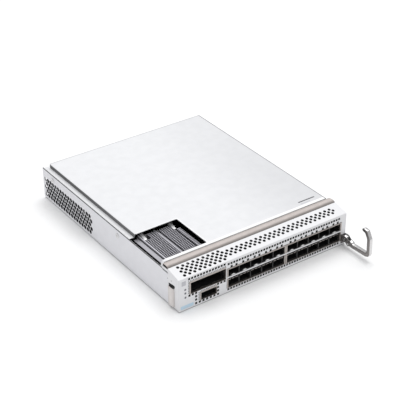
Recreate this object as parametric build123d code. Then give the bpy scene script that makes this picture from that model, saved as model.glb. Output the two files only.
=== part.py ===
from build123d import *
from math import atan2, cos, degrees, radians, sin
import os

# A half-width, one-unit muxponder card, in millimetres.
# +X runs right along the front, +Y from the front to the rear, +Z up.
# The origin is the middle of the underside that the card rests on.

# Overall sizes, taken over the folded chassis without its lever
width = 212.0
depth = 268.0
face_height = 38.0
overall_height = 44.6
left = -width / 2
right = width / 2
front = -depth / 2
rear = depth / 2

# Folded sheet of the tray, the bezel and the cover
sheet = 1.2
bend_radius = 1.8
cover_sheet = 0.8

# Ramp of the bezel behind its upright face, and the shelf for the upper seal
ramp_depth = 18.4
ramp_rise = 4.1
shelf_depth = 9.0
shelf_drop = 1.2
return_depth = 18.6

# Raised middle of the cover, its brims and its open front corner
side_step = 6.0
cover_rear_step = 4.4
rear_wall_inset = 3.5
rear_vent_x = 52.0
rear_vent_z = 27.0
rear_vent_pitch = 7.0
rear_vent_count = 7
rear_vent_radius = 2.6
seal_thickness = 0.8
tray_flange = 4.0
wall_height = 37.8
brim_underside = wall_height + seal_thickness
corner_right = 55.6
corner_front = 31.2
corner_rear = 85.0
corner_radius = 1.6
brim_cut_extra = 3.5
front_strip_front = ramp_depth + shelf_depth

# Round ramp perforation: rows at half a pitch, staggered
ramp_hole = 3.4
ramp_pitch = 6.0
ramp_first_x = 9.5
ramp_first_row = 3.7
ramp_long_rows = (0, 32, 33, 32, 0)
ramp_short_row = 9
ramp_hole_sides = 8

# Honeycomb of the left wall
comb_pitch = 5.61
comb_web = 0.75
comb_rows = 5
comb_columns = 18
comb_first_z = 6.2
comb_front = 167.5

# Plug-in module ports
board_top = 4.8
board_thickness = 1.6
cage_sheet = 0.4
port_pitch = 14.25
port_width = 13.75
port_height = 8.6
port_columns = 5
lower_port_z = 6.1
upper_port_z = 18.8
bar_low = 17.15
bar_high = 18.6
block_centres = (94.7, 169.05)
port_depth = 47.0
cage_depth = 56.0
tongue_height = 0.9
tongue_width = 6.2
tongue_length = 5.0
notch_width = 2.2
notch_height = 2.3
notch_spread = 5.9

# Small quad port and the wide line port above it
quad_x = 35.75
quad_width = 18.6
quad_z = 5.1
quad_height = 8.3
quad_cage_depth = 52.0
wide_x = 35.05
wide_width = 42.0
wide_z = 17.5
wide_height = 12.6
wide_cage_depth = 92.0
wide_sheet = 0.6
lining = 1.7
lining_proud = 0.25
lining_length = 3.0
fit_gap = 0.15

# Small perforation round the ports
vent_hole = 2.8
vent_sides = 4
vent_pitch = 3.393
vent_first_x = 59.6
vent_count = 43
vent_lower_z = 4.0
vent_upper_z = 34.2
wide_vent_pitch = 3.51
wide_vent_z = 35.4
wide_vent_first_x = 12.4
wide_vent_count = 13
quad_vent_z = 15.7
quad_vent_low_z = 3.5
quad_vent_pitch = 3.95
quad_vent_left_x = 20.4
quad_vent_right_x = 46.8
quad_vent_lower = 7

# Heatsink that rides on the wide cage, set a little to its left
sink_left = 10.7
sink_right = 54.6
sink_front = 30.0
sink_rear = 89.2
sink_base = 2.0
sink_top = 38.5
sink_lift = 0.5
sink_rail = 1.2
pin_pitch = 2.4
pin_size = 1.3
channel_left = 31.0
channel_right = 36.0
plain_strip = 4.2
cross_pitch = 2 * pin_pitch
foot_margin_x = 4.0
foot_margin_y = 6.0

# Spring clip: a yoke behind the heatsink with two tabs over it, and a ribbed side plate
clip_sheet = 0.6
clip_gap = 0.5
tab_width = 3.2
tab_length = 9.5
tab_drop = 2.2
tab_lefts = (13.4, 48.6)
tab_notch = 5.4
side_plate_height = 5.0
side_plate_ribs = 24

# Boards and what stands on them
board_front = 5.0
board_side_gap = 3.0
line_board_rear = 112.0
line_board_right = 56.0
standoff_radius = 2.75
screw_radius = 1.5
screw_head_radius = 2.8
screw_head_height = 1.6
screw_gap = 0.2
screw_sides = 6
round_sides = 12

# Lever at the lower right corner of the face, in distances before the face and above the floor
bracket_left = 206.3
cheek = 0.75
cheek_gap = 0.1
lever_width = 4.2
pivot_y = -4.6
pivot_z = 10.5
pin_radius = 1.25
pin_clearance = 0.05
hub_radius = 3.4
stop_y = -9.8
stop_z = 6.2
stop_radius = 2.6
bracket_bottom = 1.8
bracket_top = 13.4
lever_outer = ((-12.0, 3.9), (-16.0, 4.6), (-37.6, 5.7), (-42.2, 8.0), (-43.2, 11.0), (-42.4, 28.6),
               (-37.2, 37.0), (-31.6, 37.4))
lever_nose = (-29.9, 35.4)
lever_inner = ((-31.8, 33.5), (-34.6, 33.2), (-38.2, 27.6), (-38.7, 12.2), (-37.0, 10.3), (-17.0, 9.3),
               (-16.0, 10.9), (-9.4, 12.4))

# Elastic seals
seal_width = 9.0
seal_height = 2.4
seal_wall = 0.5
side_seal_front = 7.6
side_seal_bottom = 1.8
side_seal_top = 25.0


def along_x(sketch, x0, x1):
    """Run a sketch drawn in (Y, Z) from x0 to x1."""
    return extrude(Plane.YZ.offset(x0) * sketch, amount=x1 - x0)


def along_y(sketch, y0, y1):
    """Run a sketch drawn in (X, Z) from y0 to y1."""
    return extrude(Plane.XZ.offset(-y0) * sketch, amount=y0 - y1)


def along_z(sketch, z0, z1):
    """Run a sketch drawn in (X, Y) from z0 to z1."""
    return extrude(Plane.XY.offset(z0) * sketch, amount=z1 - z0)


def field(a0, a1, b0, b1):
    """A rectangle between two corners of a sketch plane."""
    return Pos((a0 + a1) / 2, (b0 + b1) / 2) * Rectangle(a1 - a0, b1 - b0)


def cuboid(x0, x1, y0, y1, z0, z1):
    """A plain block between two corners."""
    return along_z(field(x0, x1, y0, y1), z0, z1)


def outline(points):
    """A closed face from corner points."""
    return make_face(Polyline(points, close=True))


def dots(centres, shape):
    """The same small outline at many centres, as one sketch."""
    return Sketch() + [Pos(a, b) * shape for a, b in centres]


def ramp_height(y):
    """Height of the ramp's outer surface at a distance behind the face."""
    return face_height + ramp_rise * y / ramp_depth


def make_tray():
    """Floor and walls of the chassis, folded from one sheet."""
    wall_top = wall_height
    skin = outline([(left, 0), (right, 0), (right, wall_top), (left, wall_top)])
    bends = skin.vertices().sort_by(Axis.Y)[:2]
    outer = fillet(bends, bend_radius)
    room = outline([(left + sheet, sheet), (right - sheet, sheet), (right - sheet, wall_top - sheet),
                    (left + sheet, wall_top - sheet)])
    inner = fillet(room.vertices().sort_by(Axis.Y)[:2], bend_radius - sheet)
    mouth = field(left + tray_flange, right - tray_flange, wall_top - 2 * sheet, wall_top + sheet)
    tray = along_y(outer - inner - mouth, front + sheet, rear)
    # the bezel's returns take the walls' place at the front
    tray -= cuboid(left - sheet, left + 2 * sheet, front, front + return_depth, sheet, overall_height)
    tray -= cuboid(right - 2 * sheet, right + sheet, front, front + return_depth, sheet, overall_height)
    tray -= cuboid(left - sheet, right + sheet, front, front + front_strip_front + 1, wall_top - 1.5 * sheet,
                   overall_height)
    # the left flange is cut away beside the open corner
    tray -= cuboid(left + sheet, left + 2 * tray_flange, front + front_strip_front,
                   front + corner_rear + brim_cut_extra, wall_height - 1.5 * sheet, overall_height)
    # the flanges stop at the rear wall
    wall_rear = rear - rear_wall_inset
    tray -= cuboid(left + sheet, right - sheet, wall_rear, rear + sheet, wall_top - 2 * sheet, overall_height)
    tray += cuboid(left + sheet / 2, right - sheet / 2, wall_rear - sheet, wall_rear, sheet / 2, wall_top)
    tray -= rear_openings()
    tray -= left_honeycomb()
    tray -= side_screw_holes()
    return tray


def rear_openings():
    """Holes of the rear wall for the plugs to the shelf."""
    wall_rear = rear - rear_wall_inset
    holes = Part()
    for x0, x1, z0, z1 in rear_windows():
        holes += cuboid(x0, x1, wall_rear - 2 * sheet, wall_rear + sheet, z0, z1)
    vents = [(rear_vent_x + i * rear_vent_pitch, rear_vent_z) for i in range(rear_vent_count)]
    drill = dots(vents, RegularPolygon(rear_vent_radius, 6))
    return holes + along_y(drill, wall_rear - 2 * sheet, wall_rear + sheet)


plug_gap = 0.4
signal_plug = (-78.0, -8.0, 19.0)
power_plug = (22.0, 44.0, 15.0)
guide_places = (-92.0, 92.0)
guide_block = 11.0
guide_bore = 3.0


def rear_windows():
    """Outline of each rear window, from the plug that fills it."""
    windows = []
    for x0, x1, height in (signal_plug, power_plug):
        windows.append((x0 - plug_gap, x1 + plug_gap, board_top - plug_gap, board_top + height + plug_gap))
    for x in guide_places:
        half = guide_block / 2 + plug_gap
        windows.append((x - half, x + half, board_top - plug_gap, board_top + guide_block + plug_gap))
    return windows


def left_honeycomb():
    """Staggered six-sided air holes of the left wall."""
    rise = comb_pitch * 3 ** 0.5 / 2
    centres = []
    for row in range(comb_rows):
        shift = comb_pitch / 2 if row % 2 else 0
        for column in range(comb_columns):
            y = front + comb_front + column * comb_pitch - shift
            centres.append((y, comb_first_z + row * rise))
    hole = Rot(0, 0, 30) * RegularPolygon((comb_pitch - comb_web) / 2, 6, major_radius=False)
    return along_x(dots(centres, hole), left - sheet, left + 2 * sheet)


side_screws = ((110.8, 31.0), (246.2, 31.5))
side_screw_radius = 1.6
side_head_radius = 3.0
side_head_height = 0.8
side_head_edge = 0.3
side_recess = 2.6
side_shank = 3.6


def side_screw_holes():
    """Clearance holes for the screws that hold the cover's lips."""
    centres = [(front + y, z) for y, z in side_screws]
    drill = dots(centres, RegularPolygon(side_screw_radius, round_sides))
    return along_x(drill, left - sheet, left + 2 * sheet) + along_x(drill, right - 2 * sheet, right + sheet)


def make_cover():
    """Raised lid with a brim along each side, an open front corner and a lip for the screws."""
    top = overall_height
    low = brim_underside
    t = cover_sheet
    section = outline([(left, low), (left, low + t), (left + side_step - t, low + t),
                       (left + side_step - t, top), (right - side_step + t, top),
                       (right - side_step + t, low + t), (right, low + t),
                       (right, low), (right - side_step, low), (right - side_step, top - t),
                       (left + side_step, top - t), (left + side_step, low)])
    lid = along_y(section, front + front_strip_front, rear - rear_wall_inset)
    lid = fillet(lid.edges().filter_by(Axis.Y).group_by(Axis.Z)[-1], 0.6)
    # the raised middle stops short of the rear, and closes with a folded end
    end = rear - rear_wall_inset - cover_rear_step
    lid -= cuboid(left + side_step - t, right - side_step + t, end, rear, low + t, top + t)
    lid += cuboid(left + side_step - t, right - side_step + t, end - t, end, low, top - 0.3)
    lid += cuboid(left + side_step - t, right - side_step + t, end - t, rear - rear_wall_inset, low, low + t)
    lid -= corner_opening()
    for side in (-1, 1):
        lid += cover_lip(side)
    lid -= cover_lip_holes()
    return lid


def corner_opening():
    """Open corner of the lid over the riding heatsink."""
    cut = field(left - sheet, left + corner_right, front + corner_front, front + corner_rear)
    rounded = fillet(cut.vertices().group_by(Axis.X)[-1], corner_radius)
    opening = along_z(rounded, brim_underside - sheet, overall_height + sheet)
    back = front + corner_rear
    slant = outline([(back - 1, brim_underside - sheet), (back - 1, overall_height + 1),
                     (back, overall_height + 1), (back + brim_cut_extra, brim_underside - sheet)])
    return opening + along_x(slant, left - sheet, left + side_step + 0.4)


lip_length = 14.0
lip_depth = 12.0
lip_setback = 1.0


def cover_lip(side):
    """Tabs that hang inside a wall, behind each side screw."""
    face = side * (width / 2 - sheet - 0.05)
    tabs = Part()
    for y, z in side_screws:
        y0 = front + y - lip_length / 2
        inner = face - side * lip_setback
        tabs += cuboid(min(face, inner), max(face, inner), y0, y0 + lip_length, brim_underside - lip_depth,
                       brim_underside - sheet - seal_thickness)
        arm0 = side * (width / 2 - tray_flange - 0.2)
        arm1 = arm0 - side * lip_setback
        low = wall_height - 2 * sheet - 0.2
        tabs += cuboid(min(arm0, arm1), max(arm0, arm1), y0, y0 + lip_length, low - lip_setback,
                       brim_underside + cover_sheet / 2)
        tabs += cuboid(min(face, arm1), max(face, arm1), y0, y0 + lip_length, low - lip_setback, low)
    return tabs


def cover_lip_holes():
    """Holes that the side screws bite into."""
    centres = [(front + y, z) for y, z in side_screws]
    reach = sheet + 3 * lip_setback
    drill = dots(centres, RegularPolygon(side_screw_radius - 0.4, round_sides))
    return along_x(drill, left, left + reach) + along_x(drill, right - reach, right)


def make_cover_seal():
    """Dark strips between the walls' flanges and the lid's brims."""
    strips = []
    y1 = rear - rear_wall_inset
    starts = (front + corner_rear + brim_cut_extra + 0.3, front + front_strip_front + sheet)
    for side, y0 in zip((-1, 1), starts):
        x0 = side * (width / 2 - 0.2)
        x1 = side * (width / 2 - tray_flange)
        strips.append(cuboid(min(x0, x1), max(x0, x1), y0, y1, wall_height, brim_underside))
    cut = Part()
    for y, z in side_screws:
        for side in (-1, 1):
            x = side * (width / 2 - tray_flange)
            cut += cuboid(x - 0.1, x + 0.1, front + y - lip_length / 2, front + y + lip_length / 2,
                          wall_height - 1, brim_underside + 1)
    return [strip - cut for strip in strips]


def bezel_profile():
    """Section of the bezel in (Y, Z): upright face, ramp and shelf for the upper seal."""
    top_y = front + ramp_depth
    top_z = face_height + ramp_rise
    shelf_z = top_z - shelf_drop
    end_y = front + front_strip_front
    lip_z = overall_height - cover_sheet
    tilt = atan2(ramp_rise, ramp_depth)
    under = sheet / cos(tilt)
    return outline([(front, 0), (front, face_height), (top_y, top_z), (top_y, shelf_z), (end_y, shelf_z),
                    (end_y, lip_z), (end_y + sheet, lip_z), (end_y + sheet, shelf_z - sheet),
                    (top_y - sheet, shelf_z - sheet),
                    (top_y - sheet, ramp_height(ramp_depth - sheet) - under),
                    (front + sheet, ramp_height(sheet) - under), (front + sheet, 0)])


def bezel_return(x0, x1):
    """Side of the bezel, from the face back to the chassis wall."""
    back = front + return_depth
    tip = front + front_strip_front + sheet
    lip = overall_height - cover_sheet
    inset = 0.1
    crest = face_height + ramp_rise
    side = outline([(front + inset, sheet), (front + inset, face_height - inset),
                    (front + ramp_depth - inset, crest - 2 * inset),
                    (front + ramp_depth - inset, crest - shelf_drop), (tip - sheet, crest - shelf_drop),
                    (tip - sheet, lip), (tip, lip), (tip, wall_height + inset), (back, wall_height + inset),
                    (back, sheet)])
    return along_x(side, x0, x1)


def make_bezel():
    """Front panel with its ramp, its returns, all port windows and the perforation."""
    bezel = along_x(bezel_profile(), left, right)
    bezel += bezel_return(left, left + sheet)
    bezel += bezel_return(right - sheet, right)
    nose = bezel.edges().filter_by(Axis.X).filter_by_position(Axis.Y, front, front + 0.01)
    bezel = fillet(nose.group_by(Axis.Z)[-1], 0.7)
    # room behind the lid's brims at both ends of the shelf
    for side in (-1, 1):
        x0 = side * (width / 2 + 1)
        x1 = side * (width / 2 - side_step - 0.05)
        bezel -= cuboid(min(x0, x1), max(x0, x1), front + front_strip_front,
                        front + front_strip_front + 2 * sheet, brim_underside, overall_height)
    bezel -= ramp_holes()
    bezel -= port_windows()
    bezel -= vent_holes()
    bezel -= lamp_holes()
    bezel -= side_seal_slot()
    return bezel


def ramp_holes():
    """Staggered round holes that go straight through the ramp."""
    tilt = degrees(atan2(ramp_rise, ramp_depth))
    slope = Plane(origin=(left, front, face_height), x_dir=(1, 0, 0),
                  z_dir=(0, -sin(radians(tilt)), cos(radians(tilt))))
    centres = []
    for row, long_count in enumerate(ramp_long_rows):
        count = max(long_count, ramp_short_row)
        shift = ramp_pitch / 2 if row % 2 else 0
        y = ramp_first_row + row * ramp_pitch / 2
        centres += [(ramp_first_x + shift + i * ramp_pitch, y) for i in range(count)]
    hole = RegularPolygon(ramp_hole / 2, ramp_hole_sides)
    return extrude(slope * dots(centres, hole), amount=3 * sheet, both=True)


def block_span(centre):
    """Inner left and right sides of a block of ports."""
    half = (port_columns * port_pitch - (port_pitch - port_width)) / 2
    return left + centre - half, left + centre + half


def port_windows():
    """Windows of the face, one round each lining."""
    grow = lining + fit_gap
    deep = front + 2 * sheet
    windows = Part()
    for centre in block_centres:
        x0, x1 = block_span(centre)
        # a thin bar of the face stays between the two rows
        windows += cuboid(x0 - grow, x1 + grow, front - 1, deep, lower_port_z - fit_gap - 0.5, bar_low)
        windows += cuboid(x0 - grow, x1 + grow, front - 1, deep, bar_high, upper_port_z + port_height + grow)
        windows += block_notches(x0)
    wide_top = wide_z + wide_height + grow
    quad_top = quad_z + quad_height + grow
    windows += cuboid(*wide_window(grow), front - 1, deep, wide_z - fit_gap - 0.4, wide_top)
    windows += cuboid(*quad_window(grow), front - 1, deep, quad_z - fit_gap - 0.2, quad_top)
    return windows


def wide_window(grow):
    """Sides of the wide port, grown to its left and right."""
    x = left + wide_x
    return x - wide_width / 2 - grow, x + wide_width / 2 + fit_gap + 0.4


def quad_window(grow):
    """Sides of the quad port, grown to its left and right."""
    x = left + quad_x
    return x - quad_width / 2 - grow, x + quad_width / 2 + fit_gap + 0.4


def block_notches(x0):
    """Pairs of notches over each upper port, where the spring fingers flex."""
    z0 = upper_port_z + port_height + lining
    notches = Part()
    for column in range(port_columns):
        middle = x0 + port_width / 2 + column * port_pitch
        for side in (-1, 1):
            x = middle + side * notch_spread / 2
            notches += cuboid(x - notch_width / 2, x + notch_width / 2, front - 1, front + 2 * sheet, z0,
                              z0 + notch_height)
    return notches


def vent_holes():
    """Small holes in rows round the ports."""
    centres = []
    for z in (vent_lower_z, vent_upper_z):
        centres += [(left + vent_first_x + i * vent_pitch, z) for i in range(vent_count)]
    centres += [(left + wide_vent_first_x + i * wide_vent_pitch, wide_vent_z) for i in range(wide_vent_count)]
    # a row left and right of the quad port, a column down each side, a row below
    for i in range(3):
        centres.append((left + quad_vent_left_x - i * quad_vent_pitch, quad_vent_z))
        centres.append((left + quad_vent_right_x + i * quad_vent_pitch, quad_vent_z))
    for i in range(1, 3):
        centres.append((left + quad_vent_left_x, quad_vent_z - i * quad_vent_pitch))
        centres.append((left + quad_vent_right_x, quad_vent_z - i * quad_vent_pitch))
    step = (quad_vent_right_x - quad_vent_left_x) / (quad_vent_lower - 1)
    centres += [(left + quad_vent_left_x + i * step, quad_vent_low_z) for i in range(quad_vent_lower)]
    hole = Rot(0, 0, 45) * RegularPolygon(vent_hole / 2, vent_sides)
    return along_y(dots(centres, hole), front - 1, front + 2 * sheet)


lamp_x = 7.7
lamp_heights = (24.6, 20.3, 15.3)
lamp_radius = 0.9
lamp_proud = 0.2


def lamp_holes():
    """Holes for the three status light pipes."""
    centres = [(left + lamp_x, z) for z in lamp_heights]
    drill = dots(centres, RegularPolygon(lamp_radius + 0.1, round_sides))
    return along_y(drill, front - 1, front + 2 * sheet)


def side_seal_slot():
    """Slot of the left return that the side seal clips into."""
    y0 = front + side_seal_front
    return cuboid(left - 1, left + 2 * sheet, y0 + 2.2, y0 + seal_width - 2.2, side_seal_bottom + 2,
                  side_seal_top - 2)


def seal_section(width_of_seal, height_of_seal):
    """Hollow section of an elastic seal with a flat base, drawn from its base upwards."""
    half = width_of_seal / 2
    shoulder = height_of_seal * 0.45
    outer = make_face(Polyline((-half, shoulder), (-half, 0), (half, 0), (half, shoulder))
                      + ThreePointArc((half, shoulder), (0, height_of_seal), (-half, shoulder)))
    core = offset(outer, -seal_wall)
    return outer - core


def make_top_seal():
    """Hollow elastic seal that lies on the shelf behind the ramp."""
    base = face_height + ramp_rise - shelf_drop
    centre = front + ramp_depth + shelf_depth / 2
    section = Pos(centre, base) * seal_section(seal_width - 0.2, seal_height + 0.5)
    return along_x(section, left + 1.0, right - 1.0)


def make_side_seal():
    """The same seal upright on the left return."""
    middle = Pos(left, front + side_seal_front + seal_width / 2) * Rot(0, 0, 90)
    return along_z(middle * seal_section(seal_width, seal_height), side_seal_bottom, side_seal_top)


def make_block_shell(centre):
    """Roof, sides and back of a block of ports, folded from one sheet."""
    x0, x1 = block_span(centre)
    t = cage_sheet
    roof = upper_port_z + port_height
    section = outline([(x0 - t, board_top), (x0 - t, roof + t), (x1 + t, roof + t), (x1 + t, board_top),
                       (x1, board_top), (x1, roof), (x0, roof), (x0, board_top)])
    shell = along_y(section, front + lining_length, front + cage_depth)
    shell += cuboid(x0 - t, x1 + t, front + cage_depth, front + cage_depth + t, board_top, roof + t)
    return shell


def make_block_floor(centre):
    """Floor under the lower ports."""
    x0, x1 = block_span(centre)
    return cuboid(x0, x1, front + lining_length, front + port_depth, lower_port_z - cage_sheet, lower_port_z)


def make_block_spacer(centre):
    """Hollow beam between the two rows, with a latch tongue for each upper port."""
    x0, x1 = block_span(centre)
    t = cage_sheet
    z0 = lower_port_z + port_height
    z1 = upper_port_z
    y0 = front + sheet + fit_gap
    y1 = front + port_depth
    beam = along_y(field(x0, x1, z0, z1) - field(x0 - 1, x1 + 1, z0 + t, z1 - t), y0, y1)
    beam += cuboid(x0, x1, y0, y0 + t, z0 + t / 2, z1 - t / 2)
    # spring slots over each lower port
    for column in range(port_columns):
        middle = x0 + port_width / 2 + column * port_pitch
        for side in (-1, 1):
            x = middle + side * notch_spread / 2
            beam -= cuboid(x - 1.6, x + 1.6, y0 - 1, y0 + t + 0.1, z0 + 0.7, z0 + 1.9)
        crest = z1 + tongue_height
        tongue = outline([(y0, z1 - t / 2), (y0, z1), (y0 + 0.8, crest), (y0 + 1.8, crest),
                          (y0 + tongue_length, z1), (y0 + tongue_length, z1 - t / 2)])
        beam += along_x(tongue, middle - tongue_width / 2, middle + tongue_width / 2)
    return beam


def make_block_dividers(centre):
    """Upright walls between neighbouring ports, each slotted over the beam."""
    x0, x1 = block_span(centre)
    t = port_pitch - port_width
    walls = []
    gap = 0.02
    for column in range(1, port_columns):
        x = x0 + column * port_pitch - t
        y0 = front + 0.8
        y1 = front + port_depth
        walls.append(cuboid(x, x + t, y0, y1, upper_port_z + gap, upper_port_z + port_height - gap))
        walls.append(cuboid(x, x + t, y0, y1, lower_port_z + gap, lower_port_z + port_height - gap))
    return walls


plug_half = 5.6
plug_nose = 5.0
plug_nose_half = 4.9
plug_nose_low = 2.2
plug_nose_high = 6.4
plug_slot_half = 4.2
plug_slot_low = 3.7
plug_slot_high = 4.9


def make_block_plugs(centre):
    """Contact blocks at the back of the ports, one under the other in each column."""
    x0, x1 = block_span(centre)
    plugs = []
    for column in range(port_columns):
        x = x0 + column * port_pitch + port_width / 2
        y0 = front + port_depth
        half = plug_half
        body = cuboid(x - half, x + half, y0, front + cage_depth - cage_sheet, board_top,
                      upper_port_z + port_height - 1.5 * cage_sheet)
        for z in (lower_port_z, upper_port_z):
            half = plug_nose_half
            body += cuboid(x - half, x + half, y0 - plug_nose, y0, z + plug_nose_low, z + plug_nose_high)
            half = plug_slot_half
            body -= cuboid(x - half, x + half, y0 - plug_nose - 1, y0 - 0.5, z + plug_slot_low,
                           z + plug_slot_high)
        plugs.append(body)
    return plugs


def ring(x0, x1, z0, z1, side, over, under, y0, y1):
    """A frame round a rectangular window, as one folded strip."""
    outer = field(x0 - side, x1 + side, z0 - under, z1 + over)
    return along_y(outer - field(x0, x1, z0, z1), y0, y1)


def make_block_lining(centre):
    """Spring finger lining round a block of ports."""
    x0, x1 = block_span(centre)
    y0 = front - lining_proud
    y1 = front + lining_length
    z1 = upper_port_z + port_height
    lining_ring = ring(x0, x1, lower_port_z - 0.02, z1, lining, lining, 0.45, y0, y1)
    # its sides are notched round the bar of the face
    lining_ring -= cuboid(x0 - 2 * lining, x1 + 2 * lining, y0 - 1, front + sheet + fit_gap,
                          bar_low - fit_gap, bar_high + fit_gap)
    for column in range(port_columns):
        middle = x0 + port_width / 2 + column * port_pitch
        for side in (-1, 1):
            x = middle + side * notch_spread / 2
            lining_ring += finger(x, z1 + lining)
    return lining_ring


def finger(x, z):
    """One bowed spring finger that reaches up over the notch."""
    reach = notch_height + 1.3
    y = front - lining_proud
    bow = make_face(Polyline((y, z - 0.2), (y, z + 0.2), (y - 0.35, z + reach * 0.55), (y, z + reach))
                    + Polyline((y, z + reach), (y + 0.25, z + reach), (y - 0.05, z + reach * 0.55),
                               (y + 0.3, z + 0.2), (y + 0.3, z - 0.2), (y, z - 0.2)))
    return along_x(bow, x - 0.35, x + 0.35)


def make_wide_lining():
    """Spring finger lining over and left of the wide port."""
    x0 = left + wide_x - wide_width / 2
    x1 = left + wide_x + wide_width / 2
    y0 = front - lining_proud
    y1 = front + lining_length
    z1 = wide_z + wide_height
    outer = field(x0 - lining, x1 + 0.4, wide_z - 0.35, z1 + lining)
    return along_y(outer - field(x0, x1, wide_z - 0.02, z1), y0, y1)


def make_quad_lining():
    """Spring finger lining over and left of the quad port."""
    x0 = left + quad_x - quad_width / 2
    x1 = left + quad_x + quad_width / 2
    y0 = front - lining_proud
    y1 = front + lining_length
    z1 = quad_z + quad_height
    outer = field(x0 - lining, x1 + 0.4, quad_z - 0.2, z1 + lining)
    return along_y(outer - field(x0, x1, quad_z - 0.02, z1), y0, y1)


def make_wide_cage():
    """Cage of the line port, with an open roof under the heatsink's foot."""
    x0 = left + wide_x - wide_width / 2
    x1 = left + wide_x + wide_width / 2
    t = wide_sheet
    z0 = wide_z
    z1 = wide_z + wide_height
    section = field(x0 - t, x1 + t, z0 - t, z1 + t) - field(x0, x1, z0, z1)
    cage = along_y(section, front + lining_length, front + wide_cage_depth)
    cage -= cuboid(*sink_foot(0.5), z1 - t, z1 + 2 * t)
    cage += cuboid(x0 - t, x1 + t, front + wide_cage_depth, front + wide_cage_depth + t, z0 - t, z1 + t)
    return cage


def sink_foot(grow):
    """Footprint of the heatsink's foot in the cage roof, grown by a gap."""
    x = left + wide_x
    half = wide_width / 2 - foot_margin_x + grow
    y0 = front + sink_front + foot_margin_y
    y1 = front + sink_rear - foot_margin_y
    return x - half, x + half, y0 - grow, y1 + grow


def make_wide_plug():
    """Contact block at the back of the line port."""
    x = left + wide_x
    y1 = front + wide_cage_depth
    body = cuboid(x - 19, x + 19, y1 - 9, y1 - 0.4, wide_z, wide_z + 9.0)
    body -= cuboid(x - 17, x + 17, y1 - 9.5, y1 - 3, wide_z + 3.6, wide_z + 5.4)
    return body


def make_quad_cage():
    """Cage of the quad port on the main board."""
    x0 = left + quad_x - quad_width / 2
    x1 = left + quad_x + quad_width / 2
    t = cage_sheet
    z1 = quad_z + quad_height
    low = board_top
    section = field(x0 - t, x1 + t, low, z1 + t) - field(x0, x1, quad_z, z1)
    cage = along_y(section, front + lining_length, front + quad_cage_depth)
    cage -= cuboid(x0 - 2, x1 + 2, front, front + board_front, 0, low)
    cage += cuboid(x0 - t, x1 + t, front + quad_cage_depth, front + quad_cage_depth + t, low, z1 + t)
    return cage


def make_quad_plug():
    """Contact block at the back of the quad port."""
    x = left + quad_x
    y1 = front + quad_cage_depth
    body = cuboid(x - 8.4, x + 8.4, y1 - 10, y1 - 0.4, quad_z, quad_z + 6.6)
    body -= cuboid(x - 7.2, x + 7.2, y1 - 10.5, y1 - 3, quad_z + 2.6, quad_z + 4.0)
    return body


def sink_bottom():
    """Underside of the heatsink's base on the cage roof."""
    return wide_z + wide_height + wide_sheet


def make_heatsink():
    """Pin-fin heatsink: a base with a foot, and rows of square pins cut from one block."""
    x0 = left + sink_left
    x1 = left + sink_right
    y0 = front + sink_front
    y1 = front + sink_rear
    base = sink_bottom()
    deck = base + sink_base
    gap = pin_pitch - pin_size
    block = cuboid(x0, x1, y0, y1, base, sink_top)
    block -= cuboid(left + channel_left, left + channel_right, y0 - 1, y1 + 1, deck, sink_top + 1)
    left_count = int((channel_left - sink_left - sink_rail) / pin_pitch)
    right_count = int((sink_right - plain_strip - channel_right) / pin_pitch)
    starts = [x0 + sink_rail + i * pin_pitch for i in range(left_count)]
    starts += [left + channel_right + pin_size + i * pin_pitch for i in range(right_count)]
    rows = int((y1 - y0) / cross_pitch)
    lengthwise = Sketch() + [field(x, x + gap, y0 - 1, y1 + 1) for x in starts]
    crosswise = Sketch() + [field(x0 + sink_rail, x1 + 1, y0 + i * cross_pitch - gap, y0 + i * cross_pitch)
                            for i in range(1, rows + 1)]
    block -= along_z(lengthwise, deck, sink_top + 1)
    block -= along_z(crosswise, deck, sink_top + 1)
    for x in tab_lefts:
        block -= cuboid(left + x - 0.6, left + x + tab_notch, y1 - tab_length - 1.2, y1 + 1,
                        sink_top - tab_drop - clip_sheet - sink_lift - 0.6, sink_top + 1)
    fx0, fx1, fy0, fy1 = sink_foot(0)
    block += cuboid(fx0, fx1, fy0, fy1, base - wide_sheet - 0.3, base)
    return block


def make_clip():
    """Spring clip of the heatsink: rear yoke with two slanted tabs, and a ribbed plate on its left."""
    t = clip_sheet
    low = sink_bottom()
    y_yoke = front + sink_rear + clip_gap
    x0 = left + sink_left - clip_gap - t
    top = sink_top - 0.2
    yoke = cuboid(x0, left + sink_right, y_yoke, y_yoke + t, low, low + side_plate_height)
    for x in tab_lefts:
        post = cuboid(left + x, left + x + tab_width, y_yoke, y_yoke + t, low, top + t)
        slope = outline([(y_yoke + t, top), (y_yoke + t, top + t), (y_yoke - clip_gap, top + t),
                         (y_yoke - tab_length, top + t - tab_drop), (y_yoke - tab_length, top - tab_drop),
                         (y_yoke - clip_gap, top)])
        yoke += post + along_x(slope, left + x, left + x + tab_width)
    plate_front = front + sink_front + 2.0
    yoke += cuboid(x0, x0 + t, plate_front, y_yoke + t, low, low + side_plate_height)
    pitch = (y_yoke - plate_front) / side_plate_ribs
    for i in range(side_plate_ribs):
        y = plate_front + (i + 0.3) * pitch
        yoke += cuboid(x0 - 0.3, x0 + 0.1, y, y + 0.4 * pitch, low + 0.4, low + side_plate_height - 0.4)
    return yoke


def make_main_board():
    """Main circuit board over the whole floor."""
    x0 = left + sheet + board_side_gap
    x1 = right - sheet - board_side_gap
    y1 = rear - rear_wall_inset - sheet - 1.0
    board = cuboid(x0, x1, front + board_front, y1, board_top - board_thickness, board_top)
    drill = dots(board_screw_places(), RegularPolygon(screw_radius + screw_gap, screw_sides))
    return board - along_z(drill, 0, board_top + 1)


def board_screw_places():
    """Where screws hold the main board to the floor."""
    xs = (left + 8.5, left + 65.0, right - 83.0, right - 8.5)
    ys = (front + 68.0, front + 150.0, rear - 26.0)
    return [(x, y) for x in xs for y in ys]


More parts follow.
